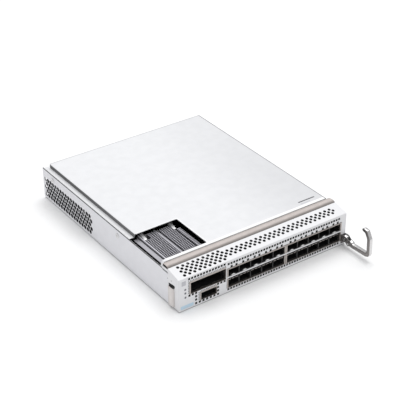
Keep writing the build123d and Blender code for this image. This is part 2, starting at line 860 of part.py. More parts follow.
def make_board_posts():
    """Posts pressed into the floor, each with a threaded hole."""
    posts = []
    z1 = board_top - board_thickness
    for x, y in board_screw_places():
        ring_post = RegularPolygon(standoff_radius, 6) - RegularPolygon(screw_radius, screw_sides)
        posts.append(along_z(Pos(x, y) * ring_post, sheet, z1))
    return posts


def make_board_screws():
    """Pan head screws of the main board."""
    return [pan_screw(x, y, board_top, board_top - sheet - 0.3) for x, y in board_screw_places()]


def pan_screw(x, y, z, length):
    """A plain upright screw, its head's underside at z."""
    head = along_z(Pos(x, y) * RegularPolygon(screw_head_radius, screw_sides), z, z + screw_head_height)
    return head + along_z(Pos(x, y) * RegularPolygon(screw_radius - 0.1, screw_sides), z - length, z)


line_board_top = wide_z - wide_sheet


def line_board_span():
    """Outline of the raised board in X and Y."""
    x0 = left + sheet + board_side_gap
    x1 = left + line_board_right
    return x0, x1, front + board_front, front + line_board_rear


def line_post_places():
    """Where posts carry the raised board."""
    x0, x1, y0, y1 = line_board_span()
    return [(x0 + 4.5, y0 + 9), (x0 + 4.5, y1 - 5), (x1 - 5, y1 - 5)]


def make_line_board():
    """Raised board that carries the line port."""
    x0, x1, y0, y1 = line_board_span()
    board = cuboid(x0, x1, y0, y1, line_board_top - board_thickness, line_board_top)
    drill = dots(line_post_places(), RegularPolygon(screw_radius + screw_gap, screw_sides))
    return board - along_z(drill, 0, line_board_top + 1)


def make_line_posts():
    """Posts between the main board and the raised board."""
    z1 = line_board_top - board_thickness
    ring_post = RegularPolygon(standoff_radius, 6) - RegularPolygon(screw_radius, screw_sides)
    return [along_z(Pos(x, y) * ring_post, board_top, z1) for x, y in line_post_places()]


def make_line_screws():
    """Screws of the raised board."""
    return [pan_screw(x, y, line_board_top, 6.0) for x, y in line_post_places()]


def make_board_link():
    """Stacking connector between the two boards."""
    x0, x1, y0, y1 = line_board_span()
    z1 = line_board_top - board_thickness
    return cuboid(x0 + 14, x0 + 40, y1 - 14, y1 - 8, board_top, z1)


chip_places = ((-2.0, 14.0, 27.0), (48.0, 30.0, 23.0))
chip_height = 2.4
chip_fin = 1.6
chip_fin_pitch = 4.0


def make_chips():
    """Large processors on the main board."""
    return [cuboid(x - s / 2, x + s / 2, y - s / 2, y + s / 2, board_top, board_top + chip_height)
            for x, y, s in chip_places]


def make_chip_heatsinks():
    """Straight-fin heatsinks on the processors."""
    sinks = []
    for x, y, s in chip_places:
        half = s / 2 + 5
        z0 = board_top + chip_height
        block = cuboid(x - half, x + half, y - half, y + half, z0, z0 + 20.0)
        count = int((2 * half - chip_fin) / chip_fin_pitch)
        starts = [x - half + chip_fin + i * chip_fin_pitch for i in range(count)]
        gap = chip_fin_pitch - chip_fin
        slots = Sketch() + [field(start, start + gap, y - half - 1, y + half + 1) for start in starts]
        sinks.append(block - along_z(slots, z0 + 3.0, z0 + 21.0))
    return sinks


power_block = (66.0, 90.0, 36.0, 94.0, 12.7)


def make_power_module():
    """Board-mounted power converter with a plain lid."""
    x0, x1, y0, y1, height = power_block
    body = cuboid(x0, x1, y0, y1, board_top, board_top + height)
    return chamfer(body.edges().group_by(Axis.Z)[-1], 0.6)


def plug_body(x0, x1, height, cells):
    """A rear plug: a block with a row of cells open to the rear."""
    y1 = rear - 0.3
    y0 = y1 - 17.0
    body = cuboid(x0, x1, y0, y1, board_top, board_top + height)
    pitch = (x1 - x0) / cells
    slots = Sketch() + [field(x0 + (i + 0.18) * pitch, x0 + (i + 0.82) * pitch, board_top + 2.0,
                              board_top + height - 2.0) for i in range(cells)]
    return body - along_y(slots, y1 - 6.0, y1 + 1)


def make_signal_plug():
    """Signal plug to the shelf."""
    x0, x1, height = signal_plug
    return plug_body(x0, x1, height, 14)


def make_power_plug():
    """Power plug to the shelf."""
    x0, x1, height = power_plug
    return plug_body(x0, x1, height, 4)


def make_guides():
    """Guide sockets that find the pins of the shelf."""
    y1 = rear - 0.3
    y0 = y1 - 17.0
    guides = []
    for x in guide_places:
        half = guide_block / 2
        z = board_top + half
        body = cuboid(x - half, x + half, y0, y1, board_top, board_top + guide_block)
        bore = Pos(x, z) * Circle(guide_bore)
        body -= along_y(bore, y1 - 12.0, y1 + 1)
        mouth = body.edges().filter_by(GeomType.CIRCLE).group_by(Axis.Y)[-1]
        guides.append(chamfer(mouth, 0.8))
    return guides


def make_light_pipes():
    """Clear rods from the face to their lamps, in one moulding."""
    x = left + lamp_x
    bar_top = lamp_heights[0] + 1.2
    bar_front = front + 2.8
    bar_rear = front + board_front - 0.2
    rods = cuboid(x - 1.2, x + 1.2, bar_front, bar_rear, lamp_heights[2] - 1.2, bar_top)
    rods += cuboid(x - 1.2, x + 1.2, bar_rear - 0.5, front + 9.0, line_board_top, bar_top)
    for z in lamp_heights:
        rod = Pos(x, z) * RegularPolygon(lamp_radius, round_sides)
        rods += along_y(rod, front - lamp_proud, bar_front + 0.5)
    return rods


def lever_profile():
    """Side view of the lever in (Y, Z): hub end, arm, upright grip and a rounded nose."""
    outer = [(front + y, z) for y, z in lever_outer]
    inner = [(front + y, z) for y, z in lever_inner]
    nose = (front + lever_nose[0], lever_nose[1])
    start = (front + pivot_y, pivot_z - hub_radius + 0.4)
    end = (front + pivot_y, pivot_z + hub_radius - 0.2)
    tip = ThreePointArc(outer[-1], nose, inner[0])
    return make_face(Polyline([start] + outer) + tip + Polyline(inner + [end, start]))


def make_lever():
    """Cast lever: round hub with a stop boss, straight arm, upright grip and a nose that points back."""
    x0 = left + bracket_left + cheek + cheek_gap
    x1 = x0 + lever_width
    hub = Pos(front + pivot_y, pivot_z) * Circle(hub_radius)
    hub += Pos(front + stop_y, stop_z) * Circle(stop_radius)
    body = along_x(lever_profile() + hub, x0, x1)
    bore = Pos(front + pivot_y, pivot_z) * Circle(pin_radius + pin_clearance)
    return body - along_x(bore, x0 - 1, x1 + 1)


def make_lever_bracket():
    """Forked bracket on the face: a foot plate and two rounded cheeks."""
    x0 = left + bracket_left
    x1 = x0 + lever_width + 2 * (cheek + cheek_gap)
    foot = 0.9
    y_pin = front + pivot_y
    reach = hub_radius + 0.3
    cheek_face = make_face(Polyline((y_pin, pivot_z - reach), (front, bracket_bottom), (front, bracket_top),
                                    (y_pin, pivot_z + reach))
                           + ThreePointArc((y_pin, pivot_z + reach), (y_pin - reach, pivot_z),
                                           (y_pin, pivot_z - reach)))
    body = along_x(cheek_face, x0, x1)
    body -= along_x(field(front - 20, front - foot, -10, 40), x0 + cheek, x1 - cheek)
    bore = Pos(y_pin, pivot_z) * Circle(pin_radius)
    return body - along_x(bore, x0 - 1, x1 + 1)


def make_lever_pin():
    """Hinge pin with a low head on its left end."""
    x0 = left + bracket_left
    x1 = right - 0.05
    y = front + pivot_y
    pin = along_x(Pos(y, pivot_z) * Circle(pin_radius), x0 - 0.4, x1)
    head = along_x(Pos(y, pivot_z) * Circle(pin_radius + 0.6), x0 - 0.6, x0)
    return pin + head


def make_side_screws():
    """Flat screws through the walls into the lid's tabs."""
    screws = []
    for y, z in side_screws:
        for side in (-1, 1):
            x = side * width / 2
            head = along_z(RegularPolygon(side_head_radius, round_sides), 0, side_head_height)
            head = chamfer(head.faces().sort_by(Axis.Z)[-1].edges(), side_head_edge)
            arm = Box(side_recess, side_recess / 4, side_head_height)
            head -= Pos(0, 0, side_head_height) * (arm + Rot(0, 0, 90) * arm)
            shank = along_z(RegularPolygon(side_screw_radius - 0.45, screw_sides), -side_shank, 0)
            screws.append(Pos(x, front + y, z) * Rot(0, side * 90, 0) * (head + shank))
    return screws


def group(solids):
    """Separate solids of one node."""
    return Compound(children=[s if isinstance(s, Solid) else s.solids()[0] for s in solids])


def write(name, shape):
    """Write one node."""
    export_step(shape, f"parts/{name}.step")


def build():
    """Make every node of the card."""
    os.makedirs("parts", exist_ok=True)
    write("chassis_tray", make_tray())
    write("top_cover", make_cover())
    write("cover_seal", group(make_cover_seal()))
    write("front_bezel", make_bezel())
    write("top_emi_seal", make_top_seal())
    write("side_emi_seal", make_side_seal())
    for side, centre in zip(("left", "right"), block_centres):
        write(f"sfp_cage_{side}", make_block_shell(centre))
        write(f"sfp_cage_floor_{side}", make_block_floor(centre))
        write(f"sfp_cage_beam_{side}", make_block_spacer(centre))
        write(f"sfp_cage_dividers_{side}", group(make_block_dividers(centre)))
        write(f"sfp_connectors_{side}", group(make_block_plugs(centre)))
        write(f"sfp_emi_lining_{side}", make_block_lining(centre))
    write("cfp2_cage", make_wide_cage())
    write("cfp2_connector", make_wide_plug())
    write("cfp2_emi_lining", make_wide_lining())
    write("cfp2_heatsink", make_heatsink())
    write("cfp2_heatsink_clip", make_clip())
    write("qsfp_cage", make_quad_cage())
    write("qsfp_connector", make_quad_plug())
    write("qsfp_emi_lining", make_quad_lining())
    write("main_board", make_main_board())
    write("main_board_posts", group(make_board_posts()))
    write("main_board_screws", group(make_board_screws()))
    write("line_board", make_line_board())
    write("line_board_posts", group(make_line_posts()))
    write("line_board_screws", group(make_line_screws()))
    write("board_stacking_connector", make_board_link())
    write("processors", group(make_chips()))
    write("processor_heatsinks", group(make_chip_heatsinks()))
    write("power_module", make_power_module())
    write("signal_plug", make_signal_plug())
    write("power_plug", make_power_plug())
    write("guide_sockets", group(make_guides()))
    write("status_light_pipes", make_light_pipes())
    write("lever", make_lever())
    write("lever_bracket", make_lever_bracket())
    write("lever_pin", make_lever_pin())
    write("side_screws", group(make_side_screws()))


build()
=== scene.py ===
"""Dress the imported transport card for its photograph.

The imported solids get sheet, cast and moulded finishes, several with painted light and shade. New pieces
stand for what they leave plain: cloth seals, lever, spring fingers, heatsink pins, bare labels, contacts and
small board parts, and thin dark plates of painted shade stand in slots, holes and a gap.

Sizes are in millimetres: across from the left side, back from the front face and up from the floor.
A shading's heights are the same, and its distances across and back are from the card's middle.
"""

from __future__ import annotations

import logging
import math
from dataclasses import dataclass
from enum import Enum
from typing import Optional, Sequence, Union

import bpy
import numpy as np
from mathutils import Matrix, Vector

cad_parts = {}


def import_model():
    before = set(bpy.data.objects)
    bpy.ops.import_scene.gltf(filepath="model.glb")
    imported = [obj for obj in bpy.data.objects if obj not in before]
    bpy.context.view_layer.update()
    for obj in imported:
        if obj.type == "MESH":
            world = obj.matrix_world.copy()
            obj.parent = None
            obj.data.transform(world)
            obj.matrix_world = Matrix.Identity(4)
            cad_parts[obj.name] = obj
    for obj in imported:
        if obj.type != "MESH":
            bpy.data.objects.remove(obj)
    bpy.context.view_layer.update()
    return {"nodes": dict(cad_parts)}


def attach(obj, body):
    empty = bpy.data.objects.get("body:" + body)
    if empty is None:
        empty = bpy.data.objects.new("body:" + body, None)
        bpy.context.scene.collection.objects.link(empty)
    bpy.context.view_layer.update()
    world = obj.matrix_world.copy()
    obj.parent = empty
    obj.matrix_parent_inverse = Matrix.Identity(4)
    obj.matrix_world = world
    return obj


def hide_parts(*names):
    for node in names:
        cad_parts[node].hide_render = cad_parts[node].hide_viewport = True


LOG = logging.getLogger("card")

MM = 0.001
HALF_WIDTH = 106.0
HALF_DEPTH = 134.0
PORT_PITCH = 14.25
PORT_COLUMNS = 5
SMOOTH_UP_TO = math.radians(35)
EDGE_SHARE = 0.45
TINY = 1e-12
EDGE_SAMPLES = 4

# A span goes from low to high, or holds the two numbers that its field's name says.
# Bounds are low and high along one axis, then low and high along another.
Colour = tuple[float, float, float]
Point = tuple[float, float, float]
Span = tuple[float, float]
Bounds = tuple[float, float, float, float]


class Body(Enum):
    """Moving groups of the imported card."""

    CARD = "card"
    LEVER = "lever"
    HEATSINK = "heatsink"


class Signal:
    """A shader socket that adds Math nodes when it is reckoned with."""

    def __init__(self, desk: "Desk", socket: bpy.types.NodeSocket) -> None:
        """Keep the socket and the desk that it belongs to."""
        self.desk = desk
        self.socket = socket

    def _reckon(self, operation: str, *others: Union["Signal", float], flip: bool = False) -> "Signal":
        """Add one Math node.

        Args:
            operation: the Math node's operation.
            others: further operands.
            flip: whether this signal is the last operand.

        Returns:
            The result's signal.
        """
        operands = [*others, self] if flip else [self, *others]
        return self.desk.signal("ShaderNodeMath", {"operation": operation}, dict(enumerate(operands)))

    def __add__(self, other: Union["Signal", float]) -> "Signal":
        """Sum."""
        return self._reckon("ADD", other)

    def __radd__(self, other: float) -> "Signal":
        """Sum with a number first."""
        return self._reckon("ADD", other, flip=True)

    def __sub__(self, other: Union["Signal", float]) -> "Signal":
        """Difference."""
        return self._reckon("SUBTRACT", other)

    def __rsub__(self, other: float) -> "Signal":
        """Difference from a number."""
        return self._reckon("SUBTRACT", other, flip=True)

    def __mul__(self, other: Union["Signal", float]) -> "Signal":
        """Product."""
        return self._reckon("MULTIPLY", other)

    def __gt__(self, other: Union["Signal", float]) -> "Signal":
        """One where this is greater, else nought."""
        return self._reckon("GREATER_THAN", other)

    def __lt__(self, other: Union["Signal", float]) -> "Signal":
        """One where this is less, else nought."""
        return self._reckon("LESS_THAN", other)

    def __abs__(self) -> "Signal":
        """Size without its sign."""
        return self._reckon("ABSOLUTE")

    def wave(self) -> "Signal":
        """Sine of an angle in radians, brought to lie from nought to one."""
        return self._reckon("SINE") * 0.5 + 0.5

    def fraction(self) -> "Signal":
        """What is left over a whole number."""
        return self._reckon("FRACT")

    def largest(self, other: Union["Signal", float]) -> "Signal":
        """The larger of two."""
        return self._reckon("MAXIMUM", other)

    def smallest(self, other: Union["Signal", float]) -> "Signal":
        """The smaller of two."""
        return self._reckon("MINIMUM", other)

    def inside(self, low: float, high: float) -> "Signal":
        """One between two values, else nought."""
        return (self > low) * (self < high)

    def rise(self, low: float, high: float) -> "Signal":
        """Rise smoothly from nought at low to one at high."""
        return self.desk.signal("ShaderNodeMapRange", {"interpolation_type": "SMOOTHSTEP", "clamp": True},
                                {"Value": self, "From Min": low, "From Max": high})


Value = Union[Signal, float, Sequence[float]]


class Desk:
    """A node tree, with one method that adds any node."""

    def __init__(self, tree: bpy.types.NodeTree) -> None:
        """Keep the tree and empty it."""
        self.tree = tree
        tree.nodes.clear()

    def node(self, kind: str, settings: Optional[dict] = None, sockets: Optional[dict] = None) -> bpy.types.Node:
        """Add a node.

        Args:
            kind: the node's type.
            settings: attributes to set first.
            sockets: values or signals by the socket's name or number.

        Returns:
            The node.
        """
        made = self.tree.nodes.new(kind)
        for key, value in (settings or {}).items():
            setattr(made, key, value)
        for key, value in (sockets or {}).items():
            self.feed(made.inputs[key], value)
        return made

    def signal(self, kind: str, settings: Optional[dict] = None, sockets: Optional[dict] = None,
               out: Union[int, str] = 0) -> Signal:
        """Add a node as above and give the signal of one of its outputs."""
        return Signal(self, self.node(kind, settings, sockets).outputs[out])

    def feed(self, socket: bpy.types.NodeSocket, value: Value) -> None:
        """Link a signal to a socket, or set the socket to a value."""
        if isinstance(value, Signal):
            self.tree.links.new(value.socket, socket)
        elif isinstance(value, (int, float)):
            socket.default_value = value
        else:
            size = len(socket.default_value)
            socket.default_value = (list(value) + [1.0])[:size]


class MaterialDesk(Desk):
    """One material's nodes, round its shader."""

    def __init__(self, name: str) -> None:
        """Start an empty material with its shader and output."""
        self.material = bpy.data.materials.new(name)
        self.material.use_nodes = True
        super().__init__(self.material.node_tree)
        self.shader = self.node("ShaderNodeBsdfPrincipled")
        self.node("ShaderNodeOutputMaterial", sockets={0: Signal(self, self.shader.outputs[0])})
        self.place = self.signal("ShaderNodeTexCoord", out="Object")

    def dress(self, **inputs: Value) -> None:
        """Set the shader's own sockets, whose names have underscores for spaces."""
        for key, value in inputs.items():
            self.feed(self.shader.inputs[key.replace("_", " ")], value)

    def axes(self) -> tuple[Signal, ...]:
        """The point's x, y and z in metres."""
        parts = self.node("ShaderNodeSeparateXYZ", sockets={0: self.place})
        return tuple(Signal(self, out) for out in parts.outputs)

    def stretched(self, scale: Sequence[float]) -> Signal:
        """The point with each axis scaled."""
        return self.signal("ShaderNodeMapping", sockets={"Vector": self.place, "Scale": scale})

    def noise(self, size_mm: float, detail: float = 2.0, where: Optional[Signal] = None) -> Signal:
        """Cloudy noise from nought to one.

        Args:
            size_mm: rough size of a cloud in millimetres.
            detail: levels of finer noise.
            where: the point to read instead of the plain one.

        Returns:
            The noise's signal.
        """
        return self.signal("ShaderNodeTexNoise", sockets={
            "Vector": where or self.place, "Scale": 1.0 / (size_mm * MM), "Detail": detail})

    def mix(self, share: Value, first: Value, second: Value) -> Signal:
        """Blend two colours by a share of the second, at a Mix node's own sockets for colours."""
        return self.signal("ShaderNodeMix", {"data_type": "RGBA"}, {0: share, 6: first, 7: second}, out=2)

    def relief(self, height: Signal, depth_mm: float, strength: float = 1.0, edge_mm: float = 0.0) -> None:
        """Give the shader a bump of the stated depth, over edges that look rounded by a radius."""
        sockets = {"Strength": strength, "Distance": depth_mm * MM, "Height": height}
        if edge_mm:
            sockets["Normal"] = self.signal("ShaderNodeBevel", {"samples": EDGE_SAMPLES}, {"Radius": edge_mm * MM})
        self.dress(Normal=self.signal("ShaderNodeBump", sockets=sockets))


def shaded(colour: Sequence[float], factor: float) -> tuple[float, ...]:
    """A colour made darker or lighter by a factor."""
    return tuple(min(1.0, part * factor) for part in colour)


@dataclass(frozen=True)
class Shading:
    """Painted light and shade that change a sheet's tone by place; this plain one changes nothing."""

    shadow: Colour = (0.006, 0.006, 0.007)

    def lit(self, desk: MaterialDesk, tone: Signal) -> Signal:
        """The tone with its painted highlights and its painted dim places."""
        return tone

    def dark(self, desk: MaterialDesk) -> Optional[Signal]:
        """One where no light comes, or None for a sheet without such places."""
        return None

    def over(self, desk: MaterialDesk, tone: Signal) -> Signal:
        """The tone with its painted highlights, painted dim places and painted shade."""
        tone = self.lit(desk, tone)
        share = self.dark(desk)
        return tone if share is None else desk.mix(share, tone, self.shadow)


@dataclass(frozen=True)
class FaceShading(Shading):
    """Painted shade on the walls of the holes through face and ramp, eased at the bar, and along the lower edge.

    The depth below the skin is the smaller of the distance behind the face and the distance under
    the ramp's plane; walls are where it lies within the sheet.
    """

    ramp_foot: float = 38.0
    ramp_rise: float = 4.1
    ramp_run: float = 18.4
    skin: Span = (0.05, 0.25)
    sheet: float = 1.35
    fold: float = 0.95
    side: float = 105.9
    back: float = 18.2
    underside: float = 0.05
    bar: Span = (16.9, 18.9)
    bar_ease: float = 0.3
    edge: Span = (0.3, 1.1)
    edge_share: float = 0.55

    def dark(self, desk: MaterialDesk) -> Signal:
        """Painted shade: full on the walls of holes, some along the lower edge."""
        x, y, z = desk.axes()
        behind = y + HALF_DEPTH * MM
        under = behind * (self.ramp_rise / self.ramp_run) + (self.ramp_foot * MM - z)
        depth = behind.smallest(under)
        skin, bar, edge = (np.array(span) * MM for span in (self.skin, self.bar, self.edge))
        inside = depth.rise(*skin) * (depth < self.sheet * MM) * (behind.largest(under) > self.fold * MM)
        card = (abs(x) < self.side * MM) * (behind < self.back * MM) * (z > self.underside * MM)
        walls = inside * card * (1.0 - z.inside(*bar) * self.bar_ease)
        return walls.largest((1.0 - z.rise(*edge)) * self.edge_share)


@dataclass(frozen=True)
class TrayShading(Shading):
    """Painted shade inside the tray, on the honeycomb walls, under the lid's brim and on the lower bends."""

    wall: float = 104.9
    floor: float = 1.1
    rear: float = 129.4
    comb_depth: Span = (0.1, 0.4)
    comb_sheet: float = 1.3
    comb_height: Span = (3.0, 30.0)
    comb_front: float = 28.0
    brim_side: float = 105.0
    brim: Span = (36.9, 37.5)
    brim_share: float = 0.9
    bend_side: float = 104.0
    bend: Span = (0.4, 1.3)
    bend_share: float = 0.6

    def dark(self, desk: MaterialDesk) -> Signal:
        """Painted shade: full inside and in the honeycomb, most under the lid's brim, some on the lower bends."""
        x, y, z = desk.axes()
        side = abs(x)
        deep, tall, brim, bend = (np.array(span) * MM
                                  for span in (self.comb_depth, self.comb_height, self.brim, self.bend))
        inside = (side < self.wall * MM) * (z > self.floor * MM) * (y < self.rear * MM)
        depth = x + HALF_WIDTH * MM
        comb = depth.rise(*deep) * (depth < self.comb_sheet * MM) * z.inside(*tall) * (y > self.comb_front * MM)
        under_brim = (side > self.brim_side * MM) * z.rise(*brim) * self.brim_share
        lower_bend = (side > self.bend_side * MM) * (1.0 - z.rise(*bend)) * self.bend_share
        return inside.largest(comb).largest(under_brim).largest(lower_bend)


@dataclass(frozen=True)
class LidShading(Shading):
    """Painted light and shade on the lid: dark steps, underside and edge lines, lit rolled edges, a dim right half.
    """

    # Painted shade on the upright steps, the underside and lines along two edges.
    step_side: Span = (100.45, 101.0)
    step_foot: float = 39.5
    step_crown: Span = (43.8, 44.2)
    step_share: float = 0.82
    step_gain: float = 0.08
    step_along: Span = (-120.0, 130.0)
    right_ease: float = 0.5
    under: float = 43.9
    under_side: float = 100.1
    under_rear: float = 125.2
    line_from: float = 43.7
    right_line: Span = (99.4, 99.7)
    right_share: float = 0.75
    rear_line: Span = (125.1, 125.5)
    rear_share: float = 0.45
    # Painted highlights on the rolled front strip and round the open corner, in the colour below.
    strip: Span = (-103.3, -102.6)
    border_right: float = -49.2
    border_rear: float = -47.8
    border_from: float = 44.0
    bright: Colour = (0.94, 0.94, 0.945)
    bright_share: float = 0.85
    # Painted dimming of the right half, as of reflected light falling off.
    painted_dim_across: Span = (-15.0, 100.0)
    painted_dim_along: Span = (-60.0, 130.0)
    painted_dim_fade: float = 0.5
    painted_dim: Colour = (0.2, 0.2, 0.22)
    painted_dim_share: float = 0.2

    def lit(self, desk: MaterialDesk, tone: Signal) -> Signal:
        """Painted highlights on the front strip and round the open corner, and a right half painted dimmer."""
        x, y, z = desk.axes()
        strip, across, along = (np.array(span) * MM for span in (self.strip, self.painted_dim_across, self.painted_dim_along))
        border = (x < self.border_right * MM) * (y < self.border_rear * MM)
        edge = (1.0 - y.rise(*strip)).largest(border) * (z > self.border_from * MM)
        painted_dim = x.rise(*across) * (1.0 - edge) * (1.0 - y.rise(*along) * self.painted_dim_fade)
        return desk.mix(edge * self.bright_share, desk.mix(painted_dim * self.painted_dim_share, tone, self.painted_dim), self.bright)

    def dark(self, desk: MaterialDesk) -> Signal:
        """Painted shade: most on the upright steps, all on the underside, some on the lines at two edges."""
        x, y, z = desk.axes()
        side = abs(x)
        sides, crown, along, right, rear = (np.array(span) * MM for span in (
            self.step_side, self.step_crown, self.step_along, self.right_line, self.rear_line))
        step = side.inside(*sides) * (z > self.step_foot * MM) * (1.0 - z.rise(*crown))
        step = step * (self.step_share + y.rise(*along) * self.step_gain) * (1.0 - (x > 0.0) * self.right_ease)
        under = (z < self.under * MM) * (side < self.under_side * MM) * (y < self.under_rear * MM)
        top = z > self.line_from * MM
        lines = (x.rise(*right) * top * self.right_share).largest(y.rise(*rear) * top * self.rear_share)
        return step.largest(under).largest(lines)


@dataclass(frozen=True)
class CageShading(Shading):
    """Painted shade behind the first millimetre of the ports."""

    mouth: Span = (-133.4, -132.2)

    def dark(self, desk: MaterialDesk) -> Signal:
        """No painted shade at the mouth, full painted shade behind it."""
        return desk.axes()[1].rise(*(np.array(self.mouth) * MM))


class Shade(Enum):
    """The painted light and shade that a sheet's finish may have."""

    NONE = Shading()
    FACE = FaceShading()
    TRAY = TrayShading()
    LID = LidShading()
    CAGE = CageShading()


@dataclass(frozen=True)
class SheetFinish:
    """Satin plated or painted sheet: clouds of tone, fine grain, a soft edge and painted light and shade by place.
    """

    name: str
    colour: Colour
    metal: float = 0.3
    roughness: float = 0.42
    cloud_mm: float = 14.0
    cloud_depth: float = 0.03
    cloud_range: Span = (0.3, 0.7)
    grain_mm: float = 0.35
    grain_depth: float = 0.012
    grain_gloss: float = 0.12
    grain_dark: float = 0.8
    rub_mm: float = 3.0
    rub_range: Span = (0.62, 0.78)
    rub_gloss: float = 0.06
    edge_mm: float = 0.35
    bump: float = 0.6
    shade: Shade = Shade.NONE

    def make(self) -> bpy.types.Material:
        """Build the material, its grain mixed in at twice the depth of its clouds."""
        desk = MaterialDesk(self.name)
        clouds = desk.noise(self.cloud_mm, detail=4.0).rise(*self.cloud_range)
        grain = desk.noise(self.grain_mm)
        rubbed = desk.noise(self.rub_mm, detail=3.0).rise(*self.rub_range)
        tone = desk.mix(clouds, shaded(self.colour, 1.0 - self.cloud_depth), self.colour)
        tone = desk.mix(grain * (2.0 * self.cloud_depth), tone, shaded(self.colour, self.grain_dark))
        desk.dress(Base_Color=self.shade.value.over(desk, tone), Metallic=self.metal,
                   Roughness=self.roughness + (grain - 0.5) * self.grain_gloss + rubbed * self.rub_gloss)
        desk.relief(grain, self.grain_depth, self.bump, self.edge_mm)
        return desk.material


@dataclass(frozen=True)
class StampedFinish:
    """Bright stamped sheet, drawn along one axis, with matt tarnished patches where fingers rub."""

    name: str
    colour: Colour
    roughness: float = 0.3
    metal: float = 1.0
    streak_mm: float = 0.25
    streak: Point = (1.0, 0.06, 1.0)
    streak_share: float = 0.4
    streak_dark: float = 0.8
    streak_gloss: float = 0.12
    streak_depth: float = 0.008
    bump: float = 0.5
    patch_mm: float = 2.6
    patch_range: Span = (0.45, 0.75)
    patch_gloss: float = 0.1
    tarnish: Colour = (0.42, 0.40, 0.37)
    tarnish_share: float = 0.25
    lit_from_mm: Optional[float] = None
    fade_mm: float = 1.6
    deep: Colour = (0.03, 0.03, 0.035)
    deep_share: float = 0.8

    def make(self) -> bpy.types.Material:
        """Build the material; below a given height painted shade darkens it, as between closely set pins."""
        desk = MaterialDesk(self.name)
        streaks = desk.noise(self.streak_mm, detail=3.0, where=desk.stretched(self.streak))
        patches = desk.noise(self.patch_mm, detail=3.0).rise(*self.patch_range)
        tone = desk.mix(streaks * self.streak_share, self.colour, shaded(self.colour, self.streak_dark))
        tone = desk.mix(patches * self.tarnish_share, tone, self.tarnish)
        # Painted shade on the lower sides, standing for the shade between closely set pins.
        if self.lit_from_mm is not None:
            height = desk.axes()[2]
            below = 1.0 - height.rise((self.lit_from_mm - self.fade_mm) * MM, self.lit_from_mm * MM)
            tone = desk.mix(below * self.deep_share, tone, self.deep)
        desk.dress(Base_Color=tone, Metallic=self.metal,
                   Roughness=self.roughness + streaks * self.streak_gloss + patches * self.patch_gloss)
        desk.relief(streaks, self.streak_depth, self.bump)
        return desk.material


@dataclass(frozen=True)
class SealCloth:
    """Conductive cloth over foam: a plain weave with a matt metal sheen, rubbed crowns and painted shade on its
    flanks.
    """

    name: str
    colour: Colour
    middle_mm: float = 23.0
    half_mm: float = 4.5
    fall: float = 0.5
    fall_most: float = 0.85
    thread_mm: float = 0.45
    slant: float = 0.5
    thread_depth: float = 0.04
    bump: float = 0.5
    weave_share: float = 0.35
    weave_dark: float = 0.72
    weave_gloss: float = 0.15
    cloud_mm: float = 6.0
    cloud_range: Span = (0.35, 0.7)
    cloud_share: float = 0.35
    cloud_light: float = 1.18
    rub_mm: float = 1.4
    rub_range: Span = (0.5, 0.8)
    rub_share: float = 0.2
    rub_light: float = 1.3
    flank_dark: float = 0.25
    metal: float = 0.25
    roughness: float = 0.5
    sheen: float = 0.25
    sheen_roughness: float = 0.4

    def make(self) -> bpy.types.Material:
        """Build the material; painted shade on the flanks grows as the square of the distance from the middle line.
        """
        desk = MaterialDesk(self.name)
        x, y, z = desk.axes()
        turn = math.tau / (self.thread_mm * MM)
        warp = ((x + z * self.slant) * turn).wave()
        weft = ((y + z * self.slant) * turn).wave()
        weave = warp * weft
        clouds = desk.noise(self.cloud_mm, detail=3.0).rise(*self.cloud_range)
        rubbed = desk.noise(self.rub_mm).rise(*self.rub_range)
        tone = desk.mix(weave * self.weave_share, self.colour, shaded(self.colour, self.weave_dark))
        tone = desk.mix(clouds * self.cloud_share, tone, shaded(self.colour, self.cloud_light))
        tone = desk.mix(rubbed * self.rub_share, tone, shaded(self.colour, self.rub_light))
        # Painted shade on the flanks of the round section, up to a limit.
        off = (y + (HALF_DEPTH - self.middle_mm) * MM) * (1.0 / (self.half_mm * MM))
        flank = (off * off * self.fall).smallest(self.fall_most)
        tone = desk.mix(flank, tone, shaded(self.colour, self.flank_dark))
        desk.dress(Base_Color=tone, Metallic=self.metal, Roughness=self.roughness + weave * self.weave_gloss,
                   Sheen_Weight=self.sheen, Sheen_Roughness=self.sheen_roughness)
        desk.relief(weave, self.thread_depth, self.bump)
        return desk.material


@dataclass(frozen=True)
class MouldedFinish:
    """Moulded plastic or rubber with a fine eroded grain."""

    name: str
    colour: Colour
    roughness: float = 0.5
    grain_mm: float = 0.3
    grain_share: float = 0.3
    grain_light: float = 1.5
    grain_gloss: float = 0.2
    grain_depth: float = 0.02
    bump: float = 0.5
    dust_mm: float = 4.0
    dust_range: Span = (0.55, 0.8)
    dust: Colour = (0.5, 0.5, 0.5)
    dust_share: float = 0.05

    def make(self) -> bpy.types.Material:
        """Build the material."""
        desk = MaterialDesk(self.name)
        grain = desk.noise(self.grain_mm, detail=3.0)
        settled = desk.noise(self.dust_mm, detail=4.0).rise(*self.dust_range)
        tone = desk.mix(grain * self.grain_share, self.colour, shaded(self.colour, self.grain_light))
        tone = desk.mix(settled * self.dust_share, tone, self.dust)
        desk.dress(Base_Color=tone, Roughness=self.roughness + (grain - 0.5) * self.grain_gloss)
        desk.relief(grain, self.grain_depth, self.bump)
        return desk.material


